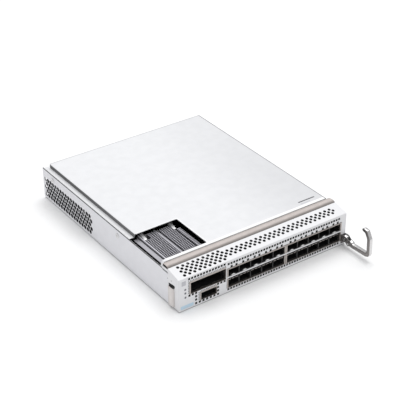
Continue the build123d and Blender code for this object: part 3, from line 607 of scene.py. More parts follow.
@dataclass(frozen=True)
class CastFinish:
    """Polished casting with faint flow marks and small pits, and a painted dark reflection on its left side."""

    name: str
    colour: Colour
    roughness: float = 0.2
    flow_mm: float = 2.2
    flow_range: Span = (0.35, 0.7)
    flow_share: float = 0.4
    flow_dark: float = 0.86
    flow_gloss: float = 0.1
    flow_depth: float = 0.03
    bump: float = 0.5
    pit_mm: float = 0.35
    pit_range: Span = (0.66, 0.8)
    pit_share: float = 0.3
    pit_dark: float = 0.6
    pit_gloss: float = 0.15
    side_mm: Optional[float] = None
    side_fade: Span = (0.05, 0.45)
    side_shade_colour: Colour = (0.20, 0.185, 0.18)
    side_share: float = 0.9
    side_gloss: float = 0.15

    def make(self) -> bpy.types.Material:
        """Build the material."""
        desk = MaterialDesk(self.name)
        flow = desk.noise(self.flow_mm, detail=4.0)
        pits = desk.noise(self.pit_mm).rise(*self.pit_range)
        marks = flow.rise(*self.flow_range) * self.flow_share
        tone = desk.mix(marks, self.colour, shaded(self.colour, self.flow_dark))
        tone = desk.mix(pits * self.pit_share, tone, shaded(self.colour, self.pit_dark))
        painted_dim: Value = 0.0
        # Painted dark reflection on the left side face, which is also made rougher.
        if self.side_mm is not None:
            painted_dim = 1.0 - desk.axes()[0].rise(*((self.side_mm + step) * MM for step in self.side_fade))
            tone = desk.mix(painted_dim * self.side_share, tone, self.side_shade_colour)
        uneven = flow * self.flow_gloss + pits * self.pit_gloss + painted_dim * self.side_gloss
        desk.dress(Base_Color=tone, Metallic=1.0, Roughness=self.roughness + uneven)
        desk.relief(flow - pits * self.pit_share, self.flow_depth, self.bump)
        return desk.material


@dataclass(frozen=True)
class BoardFinish:
    """Solder mask over copper: lanes of track, pads and pale print dots."""

    name: str
    colour: Colour
    lane_mm: float = 0.9
    lane_gap: float = 0.45
    sway_mm: float = 6.0
    sway_cloud_mm: float = 18.0
    field_mm: float = 9.0
    track_light: float = 1.6
    track_depth: float = 0.5
    via_mm: float = 3.2
    via_share: float = 0.13
    via: Colour = (0.55, 0.5, 0.35)
    via_metal: float = 0.8
    via_gloss: float = 0.2
    roughness: float = 0.3
    coat: float = 0.3
    copper_mm: float = 0.03
    bump: float = 0.6

    def make(self) -> bpy.types.Material:
        """Build the material; a via is a small round dot in each cell of a cracked pattern."""
        desk = MaterialDesk(self.name)
        across = desk.axes()[0] + (desk.noise(self.sway_cloud_mm, detail=1.0) - 0.5) * (self.sway_mm * MM)
        lane = (across * (1.0 / (self.lane_mm * MM))).fraction()
        track = (lane > self.lane_gap) * (desk.noise(self.field_mm, detail=1.0) > 0.5)
        dots = desk.signal("ShaderNodeTexVoronoi", sockets={
            "Vector": desk.place, "Scale": 1.0 / (self.via_mm * MM)}, out="Distance") < self.via_share
        tone = desk.mix(dots, desk.mix(track, self.colour, shaded(self.colour, self.track_light)), self.via)
        desk.dress(Base_Color=tone, Roughness=self.roughness + dots * self.via_gloss,
                   Metallic=dots * self.via_metal, Coat_Weight=self.coat)
        desk.relief(track * self.track_depth + dots, self.copper_mm, self.bump)
        return desk.material


@dataclass(frozen=True)
class PrintFinish:
    """Bare printed film, with a faint ink screen."""

    name: str
    colour: Colour
    roughness: float = 0.45
    screen_mm: float = 0.5
    ink_share: float = 0.25
    ink_light: float = 1.12
    ink_gloss: float = 0.08
    ink_depth: float = 0.004
    bump: float = 0.3

    def make(self) -> bpy.types.Material:
        """Build the material."""
        desk = MaterialDesk(self.name)
        ink = desk.noise(self.screen_mm)
        tone = desk.mix(ink * self.ink_share, self.colour, shaded(self.colour, self.ink_light))
        desk.dress(Base_Color=tone, Roughness=self.roughness + ink * self.ink_gloss)
        desk.relief(ink, self.ink_depth, self.bump)
        return desk.material


@dataclass(frozen=True)
class LensFinish:
    """Clear moulded lens of a lamp that is off."""

    name: str
    colour: Colour
    haze_mm: float = 0.8
    haze_share: float = 0.3
    haze_dark: float = 0.8
    haze_gloss: float = 0.1
    roughness: float = 0.12
    clear: float = 0.35
    index: float = 1.49

    def make(self) -> bpy.types.Material:
        """Build the material."""
        desk = MaterialDesk(self.name)
        haze = desk.noise(self.haze_mm)
        tone = desk.mix(haze * self.haze_share, self.colour, shaded(self.colour, self.haze_dark))
        desk.dress(Base_Color=tone, Roughness=self.roughness + haze * self.haze_gloss,
                   Transmission_Weight=self.clear, IOR=self.index)
        return desk.material


class Wardrobe:
    """Every finish of the card, made once."""

    FINISHES = (
        SheetFinish("cover_plated", (0.80, 0.805, 0.82), metal=0.0, roughness=0.55, cloud_mm=11.0,
                    cloud_depth=0.04, shade=Shade.LID),
        SheetFinish("bezel_white", (0.80, 0.80, 0.815), metal=0.0, roughness=0.45, cloud_depth=0.012,
                    shade=Shade.FACE),
        SheetFinish("tray_plated", (0.80, 0.80, 0.83), metal=0.0, roughness=0.5, cloud_mm=9.0,
                    shade=Shade.TRAY),
        # Near black and dark grey stand for the shade inside the port cages; the dividers also take painted shade
        # behind the mouth.
        SheetFinish("cage_dark", (0.02, 0.02, 0.021), roughness=0.6, cloud_mm=5.0, edge_mm=0.0),
        SheetFinish("divider_grey", (0.11, 0.11, 0.11), roughness=0.6, cloud_mm=5.0, edge_mm=0.0,
                    shade=Shade.CAGE),
        StampedFinish("finger_copper", (0.50, 0.46, 0.435), roughness=0.35, tarnish=(0.30, 0.26, 0.23)),
        StampedFinish("flange_grey", (0.46, 0.455, 0.49), metal=0.2, roughness=0.45, tarnish_share=0.1),
        # lit_from_mm: painted shade on the pins' sides below their lit tops.
        StampedFinish("sink_milled", (0.66, 0.65, 0.70), metal=0.2, roughness=0.42, lit_from_mm=38.4,
                      streak=(1.0, 0.1, 0.3), tarnish=(0.3, 0.3, 0.32), tarnish_share=0.15),
        StampedFinish("screw_zinc", (0.72, 0.72, 0.72), roughness=0.25, streak=(1.0, 1.0, 1.0)),
        StampedFinish("clip_spring", (0.93, 0.93, 0.93), metal=0.3, roughness=0.35, streak=(0.1, 1.0, 1.0),
                      tarnish_share=0.1),
        StampedFinish("contact_gold", (0.83, 0.65, 0.33), roughness=0.25, tarnish=(0.6, 0.45, 0.25)),
        SealCloth("seal_taupe", (0.54, 0.49, 0.465), middle_mm=23.4, fall=0.62),
        SealCloth("seal_pale", (0.74, 0.70, 0.68), middle_mm=11.6, half_mm=4.9, fall=0.3),
        # Black foam at seal ends and painted shade in slot and hole plates; painted shade in the brim's seam and
        # lever gap.
        MouldedFinish("black_foam_and_shade", (0.008, 0.008, 0.008), roughness=0.9),
        MouldedFinish("gap_shade_black", (0.012, 0.012, 0.012), roughness=0.8),
        MouldedFinish("connector_black", (0.012, 0.012, 0.013)),
        MouldedFinish("chip_black", (0.02, 0.02, 0.022), roughness=0.45),
        MouldedFinish("plug_grey", (0.10, 0.10, 0.11)),
        # side_mm: where the left side face takes a painted dark reflection.
        CastFinish("lever_bright", (0.70, 0.69, 0.69), side_mm=101.15),
        CastFinish("bracket_cast", (0.40, 0.39, 0.39), roughness=0.3, side_mm=100.3),
        CastFinish("guide_cast", (0.62, 0.62, 0.63), roughness=0.35),
        BoardFinish("board_mask", (0.006, 0.018, 0.011)),
        PrintFinish("label_blue", (0.52, 0.68, 0.80)),
        PrintFinish("film_grey", (0.52, 0.52, 0.55)),
        PrintFinish("print_dark", (0.10, 0.10, 0.11)),
        LensFinish("lamp_lens", (0.22, 0.22, 0.24)),
    )

    def __init__(self) -> None:
        """Make each finish."""
        self.made = {finish.name: finish.make() for finish in self.FINISHES}

    def __getitem__(self, name: str) -> bpy.types.Material:
        """A finish's material by its name."""
        return self.made[name]


def corner(points: Sequence) -> np.ndarray:
    """Turn distances from the left side, the front face and the floor into metres of the shared frame.

    Args:
        points: rows of x, y, z in millimetres.

    Returns:
        The same rows in metres, moved so that the underside's middle is the origin.
    """
    return (np.asarray(points, float) - np.array([HALF_WIDTH, HALF_DEPTH, 0.0])) * MM


def columns(*parts: Union[float, np.ndarray]) -> np.ndarray:
    """Columns side by side, with a lone number repeated to the others' length."""
    return np.stack(np.broadcast_arrays(*(np.asarray(part, float) for part in parts)), -1)


@dataclass
class Surface:
    """Points and faces of a piece that is being made."""

    points: np.ndarray
    faces: np.ndarray
    caps: tuple[tuple[int, ...], ...] = ()

    @staticmethod
    def grid(points: np.ndarray, round_rows: bool = False, round_columns: bool = False) -> "Surface":
        """Join a grid of points with four-sided faces.

        Args:
            points: an array of rows, columns and x, y, z.
            round_rows: whether the last row meets the first.
            round_columns: whether the last column meets the first.

        Returns:
            The surface, whose face k joins row i and i + 1 at columns j and j + 1.
        """
        rows, across = points.shape[:2]
        i = np.arange(rows if round_rows else rows - 1)[:, None]
        j = np.arange(across if round_columns else across - 1)[None, :]
        down, right = (i + 1) % rows, (j + 1) % across
        faces = np.stack(np.broadcast_arrays(i * across + j, i * across + right, down * across + right,
                                             down * across + j), -1)
        return Surface(points.reshape(-1, 3), faces.reshape(-1, 4))

    @staticmethod
    def tube(rings: np.ndarray) -> "Surface":
        """Join rings of points in metres, and close both ends with one many-sided face each."""
        rows, across = rings.shape[:2]
        skin = Surface.grid(rings, round_columns=True)
        first = tuple(range(across))[::-1]
        last = tuple(range((rows - 1) * across, rows * across))
        return Surface(skin.points, skin.faces, (first, last))

    @staticmethod
    def blocks(low: Sequence, high: Sequence) -> "Surface":
        """Blocks between corners in millimetres, point = low + bit * (high - low) for each three bits."""
        bits = np.array([[0, 0, 0], [1, 0, 0], [1, 1, 0], [0, 1, 0], [0, 0, 1], [1, 0, 1], [1, 1, 1], [0, 1, 1]])
        low, high = np.atleast_2d(corner(low)), np.atleast_2d(corner(high))
        points = low[:, None] + bits[None] * (high - low)[:, None]
        sides = np.array([[0, 3, 2, 1], [4, 5, 6, 7], [0, 1, 5, 4], [1, 2, 6, 5], [2, 3, 7, 6], [3, 0, 4, 7]])
        faces = sides[None] + 8 * np.arange(len(low))[:, None, None]
        return Surface(points.reshape(-1, 3), faces.reshape(-1, 4))

    def copies(self, moves: np.ndarray) -> "Surface":
        """The same surface at many places, point = place + point."""
        count = len(self.points)
        points = (self.points[None] + np.asarray(moves, float)[:, None]).reshape(-1, 3)
        shift = count * np.arange(len(moves))
        faces = (self.faces[None] + shift[:, None, None]).reshape(-1, 4)
        caps = tuple(tuple(int(v + s) for v in cap) for s in shift for cap in self.caps)
        return Surface(points, faces, caps)

    def joined(self, other: "Surface") -> "Surface":
        """This surface and another as one."""
        shift = len(self.points)
        caps = self.caps + tuple(tuple(v + shift for v in cap) for cap in other.caps)
        return Surface(np.vstack([self.points, other.points]), np.vstack([self.faces, other.faces + shift]), caps)


def arc(centre: Span, radius: float, turn: Span, points: int) -> np.ndarray:
    """Part of a circle, centre + radius (cos a, sin a) for angles a from one to another in degrees."""
    angle = np.linspace(*np.radians(turn), points)
    return np.stack([centre[0] + radius * np.cos(angle), centre[1] + radius * np.sin(angle)], -1)


def disc(radius: float, sides: int) -> np.ndarray:
    """Points of a circle, (radius cos a, radius sin a) for angles a all round."""
    angle = np.arange(sides) * math.tau / sides
    return radius * np.stack([np.cos(angle), np.sin(angle)], -1)


def rounded(points: Sequence, radius: float, steps: int = 4) -> np.ndarray:
    """Round each corner of a closed outline with a small curve.

    Each corner P gets points of the curve (1-t)^2 A + 2t(1-t) P + t^2 B, where A and B lie on its two
    edges at the radius, or at EDGE_SHARE of the shorter edge, from it.

    Args:
        points: the outline's corners, in order.
        radius: distance from a corner at which the curve starts.
        steps: points less one on each corner.

    Returns:
        The rounded outline.
    """
    points = np.asarray(points, float)
    before, after = np.roll(points, 1, 0) - points, np.roll(points, -1, 0) - points
    length_b, length_a = np.linalg.norm(before, axis=1), np.linalg.norm(after, axis=1)
    reach = np.minimum(radius, EDGE_SHARE * np.minimum(length_a, length_b))[:, None]
    start = points + before / length_b[:, None] * reach
    end = points + after / length_a[:, None] * reach
    t = np.linspace(0, 1, steps + 1)[None, :, None]
    curve = (1 - t) ** 2 * start[:, None] + 2 * t * (1 - t) * points[:, None] + t ** 2 * end[:, None]
    return curve.reshape(-1, points.shape[1])


def inset(outline: np.ndarray, distance: float) -> np.ndarray:
    """Move a closed outline inwards, each point along the mean of its two edges' inward normals."""
    edge = np.roll(outline, -1, 0) - outline
    edge = edge / np.maximum(np.linalg.norm(edge, axis=1, keepdims=True), TINY)
    normal = np.stack([-edge[:, 1], edge[:, 0]], -1)
    mean = normal + np.roll(normal, 1, 0)
    mean = mean / np.maximum(np.linalg.norm(mean, axis=1, keepdims=True), TINY)
    area = 0.5 * np.sum(outline[:, 0] * np.roll(outline[:, 1], -1) - np.roll(outline[:, 0], -1) * outline[:, 1])
    return outline + mean * distance * (1.0 if area > 0 else -1.0)


def drawn(outline: np.ndarray, axis: int, layers: Sequence[Span]) -> Surface:
    """Carry a closed outline along one axis, ring k at the place and with the inset of layer k.

    Args:
        outline: rows of the two other distances, in millimetres.
        axis: 0 for across, 1 for back or 2 for up.
        layers: place along the axis and inset of each ring, in millimetres.

    Returns:
        The tube, closed at both ends.
    """
    rings = [np.insert(inset(outline, inward), axis, place, axis=1) for place, inward in layers]
    return Surface.tube(corner(np.array(rings)))


class Workshop:
    """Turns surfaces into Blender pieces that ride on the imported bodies."""

    def __init__(self, finishes: Wardrobe) -> None:
        """Keep the finishes."""
        self.finishes = finishes

    def piece(self, name: str, surface: Surface, finish: str, body: Body = Body.CARD,
              smooth: bool = True, bevel_mm: float = 0.0, bevel_steps: int = 2) -> bpy.types.Object:
        """Make one piece.

        Args:
            name: the piece's name.
            surface: its points and faces, in metres.
            finish: the finish's name.
            body: the moving group that it rides on.
            smooth: whether faces are shaded smoothly over low angles.
            bevel_mm: width of a bevel on sharp edges, or nought.
            bevel_steps: the bevel's segments.

        Returns:
            The piece's object.
        """
        mesh = bpy.data.meshes.new(name)
        faces = [tuple(f) for f in surface.faces.tolist()] + list(surface.caps)
        mesh.from_pydata(surface.points.tolist(), [], faces)
        mesh.validate()
        mesh.update()
        mesh.materials.append(self.finishes[finish])
        made = bpy.data.objects.new(name, mesh)
        bpy.context.scene.collection.objects.link(made)
        if smooth:
            mesh.shade_smooth()
            mesh.set_sharp_from_angle(angle=SMOOTH_UP_TO)
        if bevel_mm:
            bevel = made.modifiers.new("rounding", "BEVEL")
            bevel.width = bevel_mm * MM
            bevel.segments = bevel_steps
            bevel.limit_method = "ANGLE"
            bevel.angle_limit = SMOOTH_UP_TO
        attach(made, body.value)
        LOG.info("%s: %d faces, rides on %s", name, len(faces), body.value)
        return made


@dataclass
class NodeFinishes:
    """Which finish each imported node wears, by its own name or by a word in it."""

    # cover_seal's near black paints the seam's shade under the brim; cage_dark, near black painted shade for the
    # cages, is also what unlisted nodes wear.
    own: tuple[tuple[str, str], ...] = (
        ("top_cover", "cover_plated"), ("front_bezel", "bezel_white"), ("chassis_tray", "tray_plated"),
        ("cover_seal", "gap_shade_black"), ("cfp2_heatsink", "sink_milled"), ("cfp2_heatsink_clip", "clip_spring"),
        ("main_board", "board_mask"), ("line_board", "board_mask"), ("power_module", "chip_black"),
        ("processors", "chip_black"), ("processor_heatsinks", "sink_milled"), ("guide_sockets", "guide_cast"),
        ("signal_plug", "plug_grey"), ("power_plug", "plug_grey"), ("status_light_pipes", "lamp_lens"),
        ("lever", "lever_bright"), ("lever_bracket", "bracket_cast"),
    )
    families: tuple[tuple[str, str], ...] = (
        ("lining", "finger_copper"), ("dividers", "divider_grey"), ("cage", "cage_dark"),
        ("connector", "connector_black"), ("screws", "screw_zinc"), ("posts", "screw_zinc"),
        ("pin", "screw_zinc"), ("seal", "seal_taupe"),
    )
    other: str = "cage_dark"

    def dress(self, nodes: dict, finishes: Wardrobe) -> None:
        """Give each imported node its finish."""
        own = dict(self.own)
        for name, node in nodes.items():
            family = next((finish for word, finish in self.families if word in name), self.other)
            for place in node.material_slots:
                place.material = finishes[own.get(name, family)]


@dataclass
class Seals:
    """Cloth-covered seals on the shelf behind the ramp and on the left return."""

    top_foot: Span = (18.6, 27.45)
    top_base: float = 40.9
    top_height: float = 3.75
    top_run: Span = (0.1, 211.7)
    side_foot: Span = (7.3, 16.8)
    side_base: float = 0.02
    side_height: float = 2.1
    side_run: Span = (3.0, 24.0)
    steps: int = 180
    round_steps: int = 22
    lean: float = 0.75
    lean_loss: float = 0.45
    ripple: float = 0.025
    ripple_turns: Span = (0.55, 0.17)
    ripple_lag: float = 1.0
    nip_start: Span = (0.08, 0.6)
    nip_end: Span = (0.3, 0.9)
    wall: float = 0.45
    top_foam: float = 0.8
    side_foam: float = 0.75
    foam_lift: float = 0.1
    foam_proud: float = 0.12
    foam_deep: float = 0.3

    def section(self, width: float, height: float, inner: float = 0.0) -> np.ndarray:
        """Section of a seal from its left foot over the crown to its right foot.

        The point at angle a is (-w cos a, h sin(a)^p), where p falls from 0.75 at the left foot, which
        leans, to 0.3 at the right foot, which stands steeply.

        Args:
            width: full width of the foot.
            height: height of the crown.
            inner: how far inside the skin the section runs.

        Returns:
            Rows of distance across and height.
        """
        angle = np.linspace(0, math.pi, self.round_steps)
        half, tall = width / 2 - inner, height - inner
        power = self.lean - self.lean_loss * angle / math.pi
        return np.stack([-half * np.cos(angle), tall * np.maximum(np.sin(angle), 0.0) ** power], -1)

    def skin(self, foot: Span, height: float, run: Span) -> tuple[np.ndarray, np.ndarray, np.ndarray]:
        """Skin of a seal, its section carried along its run.

        The crown's height has a slow ripple, 1 + r sin(0.55 s) sin(0.17 s + 1) at the distance s, and
        is nipped at both ends, by an exponential at the start and a bell curve at the end.

        Args:
            foot: front and rear of the foot.
            height: height of the crown.
            run: start and end along the seal.

        Returns:
            Distance along, distance back and height of each point.
        """
        start, end = run
        along = np.linspace(start, end, self.steps)
        section = self.section(foot[1] - foot[0], height)
        fast, slow = self.ripple_turns
        pull = 1.0 + self.ripple * np.sin(along * fast) * np.sin(along * slow + self.ripple_lag)
        nip = (1.0 - self.nip_start[0] * np.exp(-(along - start) / self.nip_start[1])
               - self.nip_end[0] * np.exp(-((end - along) / self.nip_end[1]) ** 2))
        tall = section[None, :, 1] * (pull * nip)[:, None]
        back = (foot[0] + foot[1]) / 2 + np.broadcast_to(section[None, :, 0], tall.shape)
        return np.broadcast_to(along[:, None], tall.shape), back, tall

    def build(self, shop: Workshop) -> None:
        """Make both seals and their dark foam ends."""
        along, back, tall = self.skin(self.top_foot, self.top_height, self.top_run)
        top = shop.piece("top_seal_cloth", Surface.tube(corner(columns(along, back, self.top_base + tall))),
                         "seal_taupe")
        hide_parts("top_emi_seal")
        along, back, tall = self.skin(self.side_foot, self.side_height, self.side_run)
        side = shop.piece("side_seal_cloth", Surface.tube(corner(columns(self.side_base - tall, back, along))),
                          "seal_pale")
        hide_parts("side_emi_seal")
        self.foam_ends(shop)

    def foam_ends(self, shop: Workshop) -> None:
        """Dark foam faces at the cut ends of both seals."""
        front, rear = self.top_foot
        core = self.section(rear - front, self.top_height * self.top_foam, self.wall)
        core = columns((front + rear) / 2 + core[:, 0], self.top_base + self.foam_lift + core[:, 1])
        start = self.top_run[0]
        ends = drawn(core, 0, ((start - self.foam_proud, 0.0), (start + self.foam_deep, 0.0)))
        front, rear = self.side_foot
        core = self.section(rear - front, self.side_height * self.side_foam, self.wall)
        core = columns(-core[:, 1], (front + rear) / 2 + core[:, 0])
        end = self.side_run[1]
        ends = ends.joined(drawn(core, 2, ((end - self.foam_deep, 0.0), (end + self.foam_proud, 0.0))))
        shop.piece("seal_foam_ends", ends, "black_foam_and_shade")


@dataclass
class Lever:
    """Bright cast lever: its outline in distances behind the face and above the floor."""

    left: float = 207.15
    width: float = 4.2
    bevel: float = 0.5
    bevel_middle: Span = (0.35, 0.3)
    corner_radius: float = 0.9
    corner_steps: int = 3
    pivot: Span = (-4.6, 10.5)
    hub: float = 3.4
    hub_turn: Span = (75.0, -75.0)
    hub_points: int = 14
    stop: Span = (-9.8, 6.2)
    stop_radius: float = 2.6
    stop_turn: Span = (-55.0, -150.0)
    stop_points: int = 8
    arm: tuple[Span, ...] = (
        (-16.0, 4.6), (-37.4, 5.6), (-41.8, 7.4), (-43.3, 11.2), (-42.5, 28.4), (-37.3, 37.0), (-32.0, 37.4),
        (-30.2, 36.6), (-29.8, 35.2), (-30.6, 34.0), (-32.0, 33.5), (-34.6, 33.1), (-38.2, 27.4), (-38.7, 12.4),
        (-37.2, 10.4), (-17.2, 9.3), (-15.9, 10.9), (-12.5, 11.6), (-9.0, 12.8))
    # Outline of a dark plate: painted shade in the gap between the bracket and the lever.
    gap_shade_plate: tuple[Span, ...] = ((-7.4, 13.2), (-9.6, 15.1), (-11.2, 14.7), (-13.2, 13.1), (-13.0, 12.4),
                             (-11.5, 11.7), (-9.0, 12.9))
    gap_shade_plate_radius: float = 0.3
    gap_shade_plate_side: float = 0.35
    gap_shade_plate_edge: float = 0.15
    rivet: float = 1.35
    rivet_dome: float = 0.25
    rivet_foot: float = 0.2
    rivet_rings: tuple[float, ...] = (1.0, 0.7875, 0.575, 0.3625, 0.15)
    rivet_sides: int = 20

    def outline(self) -> np.ndarray:
        """Rounded outline of the lever with its hub and its stop boss, as rows of y and z."""
        hub = arc(self.pivot, self.hub, self.hub_turn, self.hub_points)
        boss = arc(self.stop, self.stop_radius, self.stop_turn, self.stop_points)
        return rounded(np.vstack([hub, boss, self.arm]), self.corner_radius, self.corner_steps)

    def build(self, shop: Workshop) -> None:
        """Make the lever, its gap's painted shade plate and its rivet, each outline drawn in by a bevel at both
        sides.
        """
        step, drawn_in = self.bevel * self.bevel_middle[0], self.bevel * self.bevel_middle[1]
        sides = ((0.0, self.bevel), (step, drawn_in), (self.bevel, 0.0), (self.width - self.bevel, 0.0),
                 (self.width - step, drawn_in), (self.width, self.bevel))
        body = drawn(self.outline(), 0, [(self.left + across, inward) for across, inward in sides])
        made = shop.piece("lever_casting", body, "lever_bright", Body.LEVER)
        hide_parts("lever")
        near, far, edge = self.left + self.gap_shade_plate_side, self.left + self.width / 2, self.gap_shade_plate_edge
        gap_shade_plate = drawn(rounded(self.gap_shade_plate, self.gap_shade_plate_radius, self.corner_steps), 0,
                    ((near, edge), (near + edge, 0.0), (far, 0.0), (far + edge, edge)))
        shop.piece("lever_gap_shade_plate", gap_shade_plate, "gap_shade_black", Body.LEVER)
        shop.piece("lever_stop_rivet", self.button(), "screw_zinc", Body.LEVER)

    def button(self) -> Surface:
        """Low domed rivet head on the lever's left side, proud by d (1 - r^2) at the share r of its radius."""
        share = np.array([self.rivet_rings[0], *self.rivet_rings])[:, None]
        circle = disc(1.0, self.rivet_sides)
        rings = columns(self.left - self.rivet_dome * (1 - share * share),
                        self.stop[0] + self.rivet * share * circle[:, 0],
                        self.stop[1] + self.rivet * share * circle[:, 1])
        rings[0, :, 0] += self.rivet_foot
        return Surface.tube(corner(rings))


@dataclass
class PortLinings:
    """Folded spring strips round the two blocks of small ports, open at the notches and at the bar."""

    blocks: tuple[Span, ...] = ((59.325, 130.075), (133.675, 204.425))
    names: tuple[str, ...] = ("sfp_emi_lining_left", "sfp_emi_lining_right")
    side: float = 1.6
    gap: float = 0.03
    front: float = -0.25
    back: float = 3.0
    low: float = 5.68
    floor: float = 6.05
    floor_reach: float = 0.05
    roof: float = 27.42
    top: float = 28.75
    lap: float = 0.1
    bar: Span = (17.0, 18.72)
    behind_bar: float = 1.36
    fingers: int = 3
    finger_start: float = 0.75
    finger_pitch: float = 4.4
    finger_length: float = 3.3
    finger_back: Span = (0.9, 1.8)
    finger_height: Span = (14.15, 14.75)
    lip_reach: float = 0.9
    lip_back: Span = (-0.12, 0.05)
    lip_lift: float = 0.2
    lip: float = 0.28
    latch_first: float = 6.875
    latch_foot: Span = (0.55, 18.66)
    latch_width: float = 5.8
    latch_taper: float = 0.8
    latch_crest: Span = (0.1, 1.1)
    latch_back: Span = (0.05, 1.0)
    latch_depth: Span = (0.25, 0.9)
    latch_steps: int = 9
    strip_edge: float = 0.14
    finger_edge: float = 0.1
    latch_edge: float = 0.12

    def build(self, shop: Workshop) -> None:
        """Make the strips and the rows of short fingers in them."""
        for (x0, x1), name in zip(self.blocks, self.names):
            reach = self.floor_reach
            boxes = [(x0 - self.side, self.front, self.roof, x1 + self.side, self.back, self.top),
                     (x0 - reach, self.front + self.lap, self.low, x1 + reach, self.back, self.floor)]
            for a, b in ((x0 - self.side, x0 - self.gap), (x1 + self.gap, x1 + self.side)):
                boxes += [(a, self.front, self.low, b, self.back, self.bar[0]),
                          (a, self.front, self.bar[1], b, self.back, self.roof + self.lap),
                          (a, self.behind_bar, self.bar[0] - self.lap, b, self.back, self.bar[1] + self.lap)]
            strips = np.array(boxes)
            made = shop.piece(name.replace("emi_lining", "spring_strip"),
                              Surface.blocks(strips[:, :3], strips[:, 3:]), "finger_copper",
                              smooth=False, bevel_mm=self.strip_edge)
            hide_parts(name)
        shop.piece("row_fingers", self.row_fingers(), "finger_copper", smooth=False,
                   bevel_mm=self.finger_edge, bevel_steps=1)
        shop.piece("row_latches", self.latches(), "clip_spring", bevel_mm=self.latch_edge)

    def row_fingers(self) -> Surface:
        """Three short fingers over each lower port, just under the bar, and a thin edge over each upper port."""
        low, high = [], []
        port, finger = np.divmod(np.arange(PORT_COLUMNS * self.fingers), self.fingers)
        for x0, x1 in self.blocks:
            start = x0 + port * PORT_PITCH + finger * self.finger_pitch + self.finger_start
            low += [columns(start, self.finger_back[0], self.finger_height[0]),
                    [(x0 - self.lip_reach, self.front + self.lip_back[0], self.roof + self.lip_lift)]]
            high += [columns(start + self.finger_length, self.finger_back[1], self.finger_height[1]),
                     [(x1 + self.lip_reach, self.front + self.lip_back[1], self.roof + self.lip_lift + self.lip)]]
        return Surface.blocks(np.vstack(low), np.vstack(high))

    def latches(self) -> Surface:
        """A bright bowed latch tip at the foot of each upper port, height h sin(pi t) along its width."""
        t = np.linspace(0, 1, self.latch_steps)
        bow = np.sin(math.pi * t)
        across = (t - 0.5) * self.latch_width
        (near, far), (low, tall) = self.latch_depth, self.latch_crest
        foot = columns(across, 0.0, 0.0)
        crest = columns(across * self.latch_taper, near, low + tall * bow)
        back = columns(across * self.latch_taper, far, self.latch_back[0] + self.latch_back[1] * bow)
        under = columns(across, far, 0.0)
        one = Surface.tube(np.stack([foot, crest, back, under], 1) * MM)
        middles = [x0 + self.latch_first + PORT_PITCH * i for x0, _ in self.blocks for i in range(PORT_COLUMNS)]
        return one.copies(corner([(x, *self.latch_foot) for x in middles]))


@dataclass
class SlotRows:
    """Dark plates of painted shade: slots beside the spring strips, small holes and notches, and the left return.

    Rows across are start, end, height and pitch, upright ones place across, start, end and pitch, and
    holes the first one's place across and height, the step across and up, and their count.
    """

    across: tuple[Bounds, ...] = ((13.2, 56.2, 32.75, 1.9), (26.2, 44.2, 15.95, 1.9))
    upright: tuple[Bounds, ...] = ((11.5, 18.6, 32.6, 1.9), (23.7, 6.3, 14.6, 1.9))
    long: float = 1.15
    short: float = 0.7
    skin: Span = (-0.03, 0.02)
    holes: tuple[tuple[float, float, float, float, int], ...] = (
        (59.6, 4.0, 3.393, 0.0, 43), (59.6, 34.2, 3.393, 0.0, 43), (12.4, 35.4, 3.51, 0.0, 13),
        (20.4, 15.7, -3.95, 0.0, 3), (46.8, 15.7, 3.95, 0.0, 3), (20.4, 11.75, 0.0, -3.95, 2),
        (46.8, 11.75, 0.0, -3.95, 2), (20.4, 3.5, 4.4, 0.0, 7))
    hole: float = 2.45
    depth: Span = (-0.03, 0.25)
    notch_first: Span = (66.2, 140.55)
    notch_width: float = 2.5
    notch_height: Span = (28.9, 31.55)
    notch_spread: float = 2.95
    slot: tuple[Span, ...] = ((17.4, 26.6), (13.2, 27.3), (9.5, 27.9), (7.0, 27.9), (6.5, 26.9), (7.2, 24.6),
                              (12.5, 24.0), (17.0, 24.0))
    slot_radius: float = 0.4
    dots: tuple[Span, ...] = ((19.0, 30.7), (12.5, 31.0))
    dot: float = 0.45
    dot_sides: int = 12
    mark_depth: Span = (0.05, -0.04)

    def build(self, shop: Workshop) -> None:
        """Make slot, hole and return plates of painted shade, each kind as one piece of thin dark plates."""
        for name, surface in (("face_slots", self.slots()), ("face_hole_shade_plates", self.hole_shade_plates()),
                              ("return_slot", self.marks())):
            shop.piece(name, surface, "black_foam_and_shade", smooth=False)

    def slots(self) -> Surface:
        """Plates of painted shade in rows of short slots round the wide and the quad port."""
        (near, far), half = self.skin, self.short / 2
        low, high = [], []
        for start, end, z, pitch in self.across:
            x = np.arange(start, end, pitch)
            low.append(columns(x, near, z - half))
            high.append(columns(x + self.long, far, z + half))
        for x, start, end, pitch in self.upright:
            z = np.arange(start, end, pitch)
            low.append(columns(x - half, near, z))
            high.append(columns(x + half, far, z + self.long))
        return Surface.blocks(np.vstack(low), np.vstack(high))

    def hole_shade_plates(self) -> Surface:
        """Plates of painted shade in the small holes and the notches of the face."""
        (near, far), half = self.depth, self.hole / 2
        x, z = np.vstack([columns(x + right * np.arange(count), z + up * np.arange(count))
                          for x, z, right, up, count in self.holes]).T
        low, high = [columns(x - half, near, z - half)], [columns(x + half, far, z + half)]
        x = np.array([first + PORT_PITCH * i + side * self.notch_spread for first in self.notch_first
                      for i in range(PORT_COLUMNS) for side in (-1, 1)])
        low.append(columns(x - self.notch_width / 2, near, self.notch_height[0]))
        high.append(columns(x + self.notch_width / 2, far, self.notch_height[1]))
        return Surface.blocks(np.vstack(low), np.vstack(high))

    def marks(self) -> Surface:
        """Plates of painted shade in the long slot and two small holes on the left return."""
        shapes = [disc(self.dot, self.dot_sides) + place for place in self.dots]
        made = Surface(np.zeros((0, 3)), np.zeros((0, 4), int))
        for shape in (rounded(self.slot, self.slot_radius), *shapes):
            made = made.joined(drawn(shape, 0, [(across, 0.0) for across in self.mark_depth]))
        return made


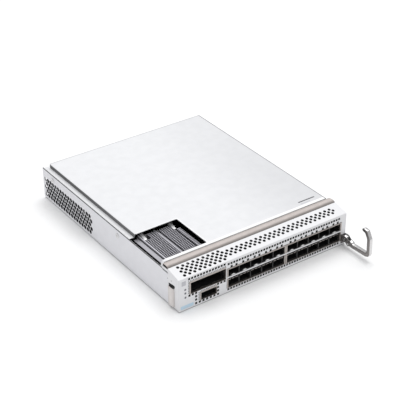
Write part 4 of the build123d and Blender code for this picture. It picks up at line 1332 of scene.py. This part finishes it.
@dataclass
class PinSink:
    """Riding heatsink with its full field of square pins, and the flange of its clip."""

    across: Span = (10.7, 54.6)
    along: Span = (30.0, 89.2)
    base: float = 30.7
    deck: float = 32.7
    top: float = 38.5
    sunk: float = 0.1
    foot: Bounds = (18.05, 52.05, 36.0, 83.2)
    foot_depth: float = 0.9
    rail: float = 1.2
    channel: Span = (30.6, 34.7)
    channel_wall: float = 0.75
    tongue: Span = (33.1, 37.5)
    tongue_short: float = 5.0
    pin: float = 1.15
    pitch: float = 2.4
    left_columns: int = 7
    right_columns: int = 6
    rows: int = 24
    first_row: float = 0.3
    plain: float = 4.2
    notches: tuple[Span, ...] = ((12.8, 18.8), (48.0, 54.0))
    notch_length: float = 10.7
    flange_low: Point = (4.8, 33.0, 35.6)
    flange_high: Point = (9.7, 87.5, 36.2)
    pin_edge: float = 0.1
    flange_edge: float = 0.15

    def build(self, shop: Workshop) -> None:
        """Make the heatsink and the clip's flange."""
        solid = np.array(self.solid())
        low, high = self.pins()
        body = Surface.blocks(np.vstack([solid[:, :3], low]), np.vstack([solid[:, 3:], high]))
        made = shop.piece("pin_heatsink", body, "sink_milled", Body.HEATSINK, smooth=False,
                          bevel_mm=self.pin_edge, bevel_steps=1)
        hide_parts("cfp2_heatsink")
        shop.piece("clip_flange", Surface.blocks(self.flange_low, self.flange_high), "flange_grey",
                   smooth=False, bevel_mm=self.flange_edge)

    def solid(self) -> list[tuple[float, ...]]:
        """Low and high corners of the base, its foot, the left rail, the channel's wall and its tongue."""
        (left, right), (front, rear) = self.across, self.along
        start, floor = self.channel[0], self.deck - self.sunk
        return [(left, front, self.base, right, rear, self.deck),
                (self.foot[0], self.foot[2], self.base - self.foot_depth,
                 self.foot[1], self.foot[3], self.base + self.sunk),
                (left, front, floor, left + self.rail, rear, self.top),
                (start - self.channel_wall, front, floor, start, rear, self.top),
                (start - self.sunk, front, floor, self.tongue[0], rear - self.tongue_short, self.tongue[1])]

    def pins(self) -> tuple[np.ndarray, np.ndarray]:
        """Low and high corners of the pins, on a square grid that leaves out the channel and the notches."""
        (left, right), (front, rear) = self.across, self.along
        start = left + self.rail + self.pitch - self.pin
        x = np.concatenate([start + self.pitch * np.arange(self.left_columns),
                            self.channel[1] + self.pitch * np.arange(self.right_columns)])
        y = front + self.pitch * np.arange(self.rows) + self.first_row
        x, y = (part.ravel() for part in np.meshgrid(x, y))
        wide = np.concatenate([np.full(x.shape, self.pin), np.full(self.rows, self.plain)])
        x = np.concatenate([x, np.full(self.rows, right - self.plain)])
        y = np.concatenate([y, front + self.pitch * np.arange(self.rows) + self.first_row])
        free = np.ones(len(x), bool)
        for a, b in self.notches:
            free &= ~((x + wide > a) & (x < b) & (y + self.pin > rear - self.notch_length))
        x, y, wide = x[free], y[free], wide[free]
        return columns(x, y, self.deck - self.sunk), columns(x + wide, y + self.pin, self.top)


@dataclass
class FaceTrim:
    """Bare label, bare code square and lamp rims on the face, bare bars and the strip's end on the lid."""

    film: float = 0.12
    film_foot: float = 0.02
    film_side: float = 0.7
    film_edge: float = 0.05
    film_steps: int = 5
    label: Bounds = (2.2, 17.2, 2.4, 6.2)
    label_radius: float = 0.5
    square: Bounds = (3.5, 8.4, 29.9, 34.9)
    square_radius: float = 0.3
    lamps: tuple[float, ...] = (24.6, 20.3, 15.3)
    lamp_x: float = 7.7
    lamp_rings: tuple[Span, ...] = ((0.95, 0.1), (1.45, 0.02), (1.4, -0.1), (1.15, -0.16), (0.95, -0.1))
    lamp_sides: int = 24
    bars: tuple[Bounds, ...] = ((177.0, 198.4, 36.2, 37.9), (177.0, 189.84, 32.6, 33.9))
    bar_finishes: tuple[str, ...] = ("print_dark", "film_grey")
    bar_radius: float = 0.4
    bar_steps: int = 4
    bar_height: Span = (44.58, 44.62)
    strip_end: tuple[Span, ...] = ((5.35, 39.42), (5.35, 44.5), (2.6, 44.4), (1.3, 43.2), (0.6, 41.2), (0.5, 39.42))
    strip_along: Span = (27.5, 31.15)
    strip_edge: float = 0.2

    @staticmethod
    def rectangle(box: Bounds, radius: float, steps: int) -> np.ndarray:
        """Rounded rectangle between two pairs of sides."""
        a0, a1, b0, b1 = box
        return rounded([(a0, b0), (a1, b0), (a1, b1), (a0, b1)], radius, steps)

    def sticker(self, box: Bounds, radius: float) -> Surface:
        """Rounded film on the face, its outline at the face and again, drawn in, at its thickness."""
        return drawn(self.rectangle(box, radius, self.film_steps), 1,
                     ((self.film_foot, 0.0), (-self.film * self.film_side, 0.0), (-self.film, self.film_edge)))

    def build(self, shop: Workshop) -> None:
        """Make the films, the bars, the strip's rolled end and the lamps' rims."""
        shop.piece("front_label_bare", self.sticker(self.label, self.label_radius), "label_blue")
        shop.piece("code_square_bare", self.sticker(self.square, self.square_radius), "film_grey")
        for number, (box, finish) in enumerate(zip(self.bars, self.bar_finishes)):
            outline = self.rectangle(box, self.bar_radius, self.bar_steps)
            bar = drawn(outline, 2, [(height, 0.0) for height in self.bar_height])
            shop.piece(f"lid_print_bar_{number}", bar, finish)
        end = drawn(np.array(self.strip_end), 1, [(along, 0.0) for along in self.strip_along])
        shop.piece("strip_end", end, "bezel_white", smooth=False, bevel_mm=self.strip_edge)
        shop.piece("lamp_rims", self.rims(), "film_grey")

    def rims(self) -> Surface:
        """A ring round each lamp, a small closed section turned about the lamp's axis."""
        radius, back = (np.array(part)[:, None] for part in zip(*self.lamp_rings))
        circle = disc(1.0, self.lamp_sides)
        rings = columns(self.lamp_x + radius * circle[:, 0], back, radius * circle[:, 1])
        ring = Surface.grid(corner(rings), round_rows=True, round_columns=True)
        return ring.copies(np.array([(0, 0, z) for z in self.lamps]) * MM)


@dataclass
class RearContacts:
    """Gilded pins in the cells of the signal plug and gilded blades in those of the power plug."""

    signal: Span = (28.0, 98.0)
    signal_cells: int = 14
    power: Span = (128.0, 150.0)
    power_cells: int = 4
    foot: float = 4.8
    reach: Span = (261.5, 266.5)
    pin: float = 0.55
    pin_twin: float = 0.7
    pin_rows: tuple[float, ...] = (3.6, 6.9, 10.2, 13.5)
    blade: float = 1.3
    blade_height: Span = (3.5, 11.5)
    blade_edge: float = 0.2

    @staticmethod
    def middles(span: Span, cells: int) -> np.ndarray:
        """Middles of equal cells across a span."""
        return span[0] + (span[1] - span[0]) / cells * (np.arange(cells) + 0.5)

    def build(self, shop: Workshop) -> None:
        """Make pins and blades, each reaching from the cell's floor nearly to its mouth."""
        near, far = self.reach
        x, z = np.meshgrid(self.middles(self.signal, self.signal_cells), self.foot + np.array(self.pin_rows))
        x, z = x.ravel(), z.ravel()
        x, z = np.concatenate([x - self.pin_twin, x + self.pin_twin]), np.concatenate([z, z])
        pins = Surface.blocks(columns(x - self.pin / 2, near, z), columns(x + self.pin / 2, far, z + self.pin))
        shop.piece("signal_pins", pins, "contact_gold", smooth=False)
        x = self.middles(self.power, self.power_cells)
        bottom, top = (self.foot + height for height in self.blade_height)
        blades = Surface.blocks(columns(x - self.blade / 2, near, bottom), columns(x + self.blade / 2, far, top))
        shop.piece("power_blades", blades, "contact_gold", smooth=False,
                   bevel_mm=self.blade_edge)


@dataclass
class BoardParts:
    """Small parts that stand on the main board, seen through the perforations and the rear."""

    seed: int = 20
    tries: int = 900
    top: float = 4.8
    chips: int = 70
    cans: int = 26
    zone: Bounds = (12.0, 200.0, 62.0, 240.0)
    taken: tuple[Bounds, ...] = ((80.0, 130.0, 122.0, 176.0), (130.0, 176.0, 140.0, 188.0),
                                 (168.0, 200.0, 164.0, 232.0), (0.0, 62.0, 0.0, 120.0))
    clear: float = 5.0
    apart: float = 9.0
    scale: Span = (0.6, 1.0)
    chip_half: Span = (3.0, 2.2)
    chip_height: float = 0.8
    chip_edge: float = 0.12
    can_rings: tuple[Span, ...] = ((3.0, 0.0), (3.0, 6.2), (2.75, 6.6))
    can_sides: int = 14

    def spots(self) -> np.ndarray:
        """Places across and back with a scale each, clear of larger parts and apart from each other."""
        draw = np.random.default_rng(self.seed)
        x0, x1, y0, y1 = self.zone
        tried = np.column_stack([draw.uniform(x0, x1, self.tries), draw.uniform(y0, y1, self.tries)])
        kept: list[tuple[float, float, float]] = []
        for x, y in tried:
            if any(a - self.clear < x < b + self.clear and c - self.clear < y < d + self.clear
                   for a, b, c, d in self.taken):
                continue
            if all(math.hypot(x - u, y - v) > self.apart for u, v, _ in kept):
                kept.append((x, y, draw.uniform(*self.scale)))
        return np.array(kept)

    def build(self, shop: Workshop) -> None:
        """Scatter chips and cans over the free parts of the main board, by a fixed seed."""
        kept = self.spots()
        x, y, scale = kept[: self.chips].T
        wide, deep = (scale * half for half in self.chip_half)
        chips = Surface.blocks(columns(x - wide, y - deep, self.top),
                               columns(x + wide, y + deep, self.top + self.chip_height + scale))
        shop.piece("board_chips", chips, "chip_black", smooth=False, bevel_mm=self.chip_edge,
                   bevel_steps=1)
        x, y, _ = kept[self.chips: self.chips + self.cans].T
        radius, height = (np.array(part)[:, None] for part in zip(*self.can_rings))
        circle = disc(1.0, self.can_sides)
        can = Surface.tube(columns(radius * circle[:, 0], radius * circle[:, 1], height) * MM)
        shop.piece("board_cans", can.copies(corner(columns(x, y, self.top))), "screw_zinc")


@dataclass
class Studio:
    """White paper floor, soft light from above and behind, and the camera of the photograph."""

    eye: Point = (-0.63152, -0.92071, 0.70614)
    gaze: Point = (0.49306546, 0.69251302, -0.52660438)
    lens: float = 104.578
    sensor: float = 36.0
    clip: Span = (0.05, 20.0)
    floor_half: float = 4.0
    floor_under: float = 0.0002
    paper: Colour = (0.93, 0.93, 0.93)
    fibre: Colour = (0.91, 0.91, 0.915)
    fibre_mm: float = 40.0
    fibre_share: float = 0.3
    paper_roughness: float = 0.9
    paper_shine: float = 0.1
    backdrop: Colour = (1.0, 1.0, 1.0)
    sky: float = 0.62
    sky_tint: Colour = (0.985, 0.99, 1.0)
    sun: float = 1.8
    sun_from: Point = (0.2, 0.18, 1.0)
    sun_spread: float = 52.0

    def build(self) -> None:
        """Lay the floor, hang the lights and stand the camera."""
        self.lay_floor()
        self.hang_sky()
        self.hang_sun()
        self.stand_camera()

    @staticmethod
    def turned(name: str, data: bpy.types.ID, towards: Point, track: str) -> bpy.types.Object:
        """Put a camera or lamp into the scene, with one of its axes towards a direction."""
        made = bpy.data.objects.new(name, data)
        made.rotation_mode = "QUATERNION"
        made.rotation_quaternion = Vector(towards).to_track_quat(track, "Y")
        bpy.context.scene.collection.objects.link(made)
        return made

    def stand_camera(self) -> None:
        """The fitted camera."""
        data = bpy.data.cameras.new("photo_camera")
        data.lens = self.lens
        data.sensor_width = self.sensor
        data.sensor_fit = "HORIZONTAL"
        data.clip_start, data.clip_end = self.clip
        camera = self.turned("photo_camera", data, self.gaze, "-Z")
        camera.location = self.eye
        bpy.context.scene.camera = camera

    def lay_floor(self) -> None:
        """A wide pale sheet just under the card."""
        desk = MaterialDesk("floor_paper")
        tone = desk.mix(desk.noise(self.fibre_mm, detail=3.0) * self.fibre_share, self.paper, self.fibre)
        desk.dress(Base_Color=tone, Roughness=self.paper_roughness, Specular_IOR_Level=self.paper_shine)
        side, low = self.floor_half, -self.floor_under
        mesh = bpy.data.meshes.new("floor")
        mesh.from_pydata([(-side, -side, low), (side, -side, low), (side, side, low), (-side, side, low)], [],
                         [(0, 1, 2, 3)])
        mesh.materials.append(desk.material)
        floor = bpy.data.objects.new("floor", mesh)
        bpy.context.scene.collection.objects.link(floor)

    def hang_sky(self) -> None:
        """An even pale sky that the camera sees as white."""
        world = bpy.data.worlds.new("studio")
        world.use_nodes = True
        desk = Desk(world.node_tree)
        light = desk.signal("ShaderNodeBackground", sockets={0: self.sky_tint, 1: self.sky})
        seen = desk.signal("ShaderNodeBackground", sockets={0: self.backdrop, 1: 1.0})
        ray = desk.signal("ShaderNodeLightPath", out="Is Camera Ray")
        choice = desk.signal("ShaderNodeMixShader", sockets={0: ray, 1: light, 2: seen})
        desk.node("ShaderNodeOutputWorld", sockets={0: choice})
        bpy.context.scene.world = world

    def hang_sun(self) -> None:
        """One wide soft sun."""
        data = bpy.data.lights.new("soft_sun", "SUN")
        data.energy = self.sun
        data.angle = math.radians(self.sun_spread)
        self.turned("soft_sun", data, self.sun_from, "Z")


def main() -> None:
    """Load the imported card, dress it piece by piece and set up the studio."""
    logging.basicConfig(level=logging.INFO, format="%(message)s")
    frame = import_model()
    bpy.context.scene.view_settings.view_transform = "Standard"
    finishes = Wardrobe()
    shop = Workshop(finishes)
    NodeFinishes().dress(frame["nodes"], finishes)
    for assembly in (Seals(), Lever(), PortLinings(), SlotRows(), PinSink(), FaceTrim(), RearContacts(),
                     BoardParts()):
        assembly.build(shop)
    Studio().build()


if __name__ == "__main__":
    main()
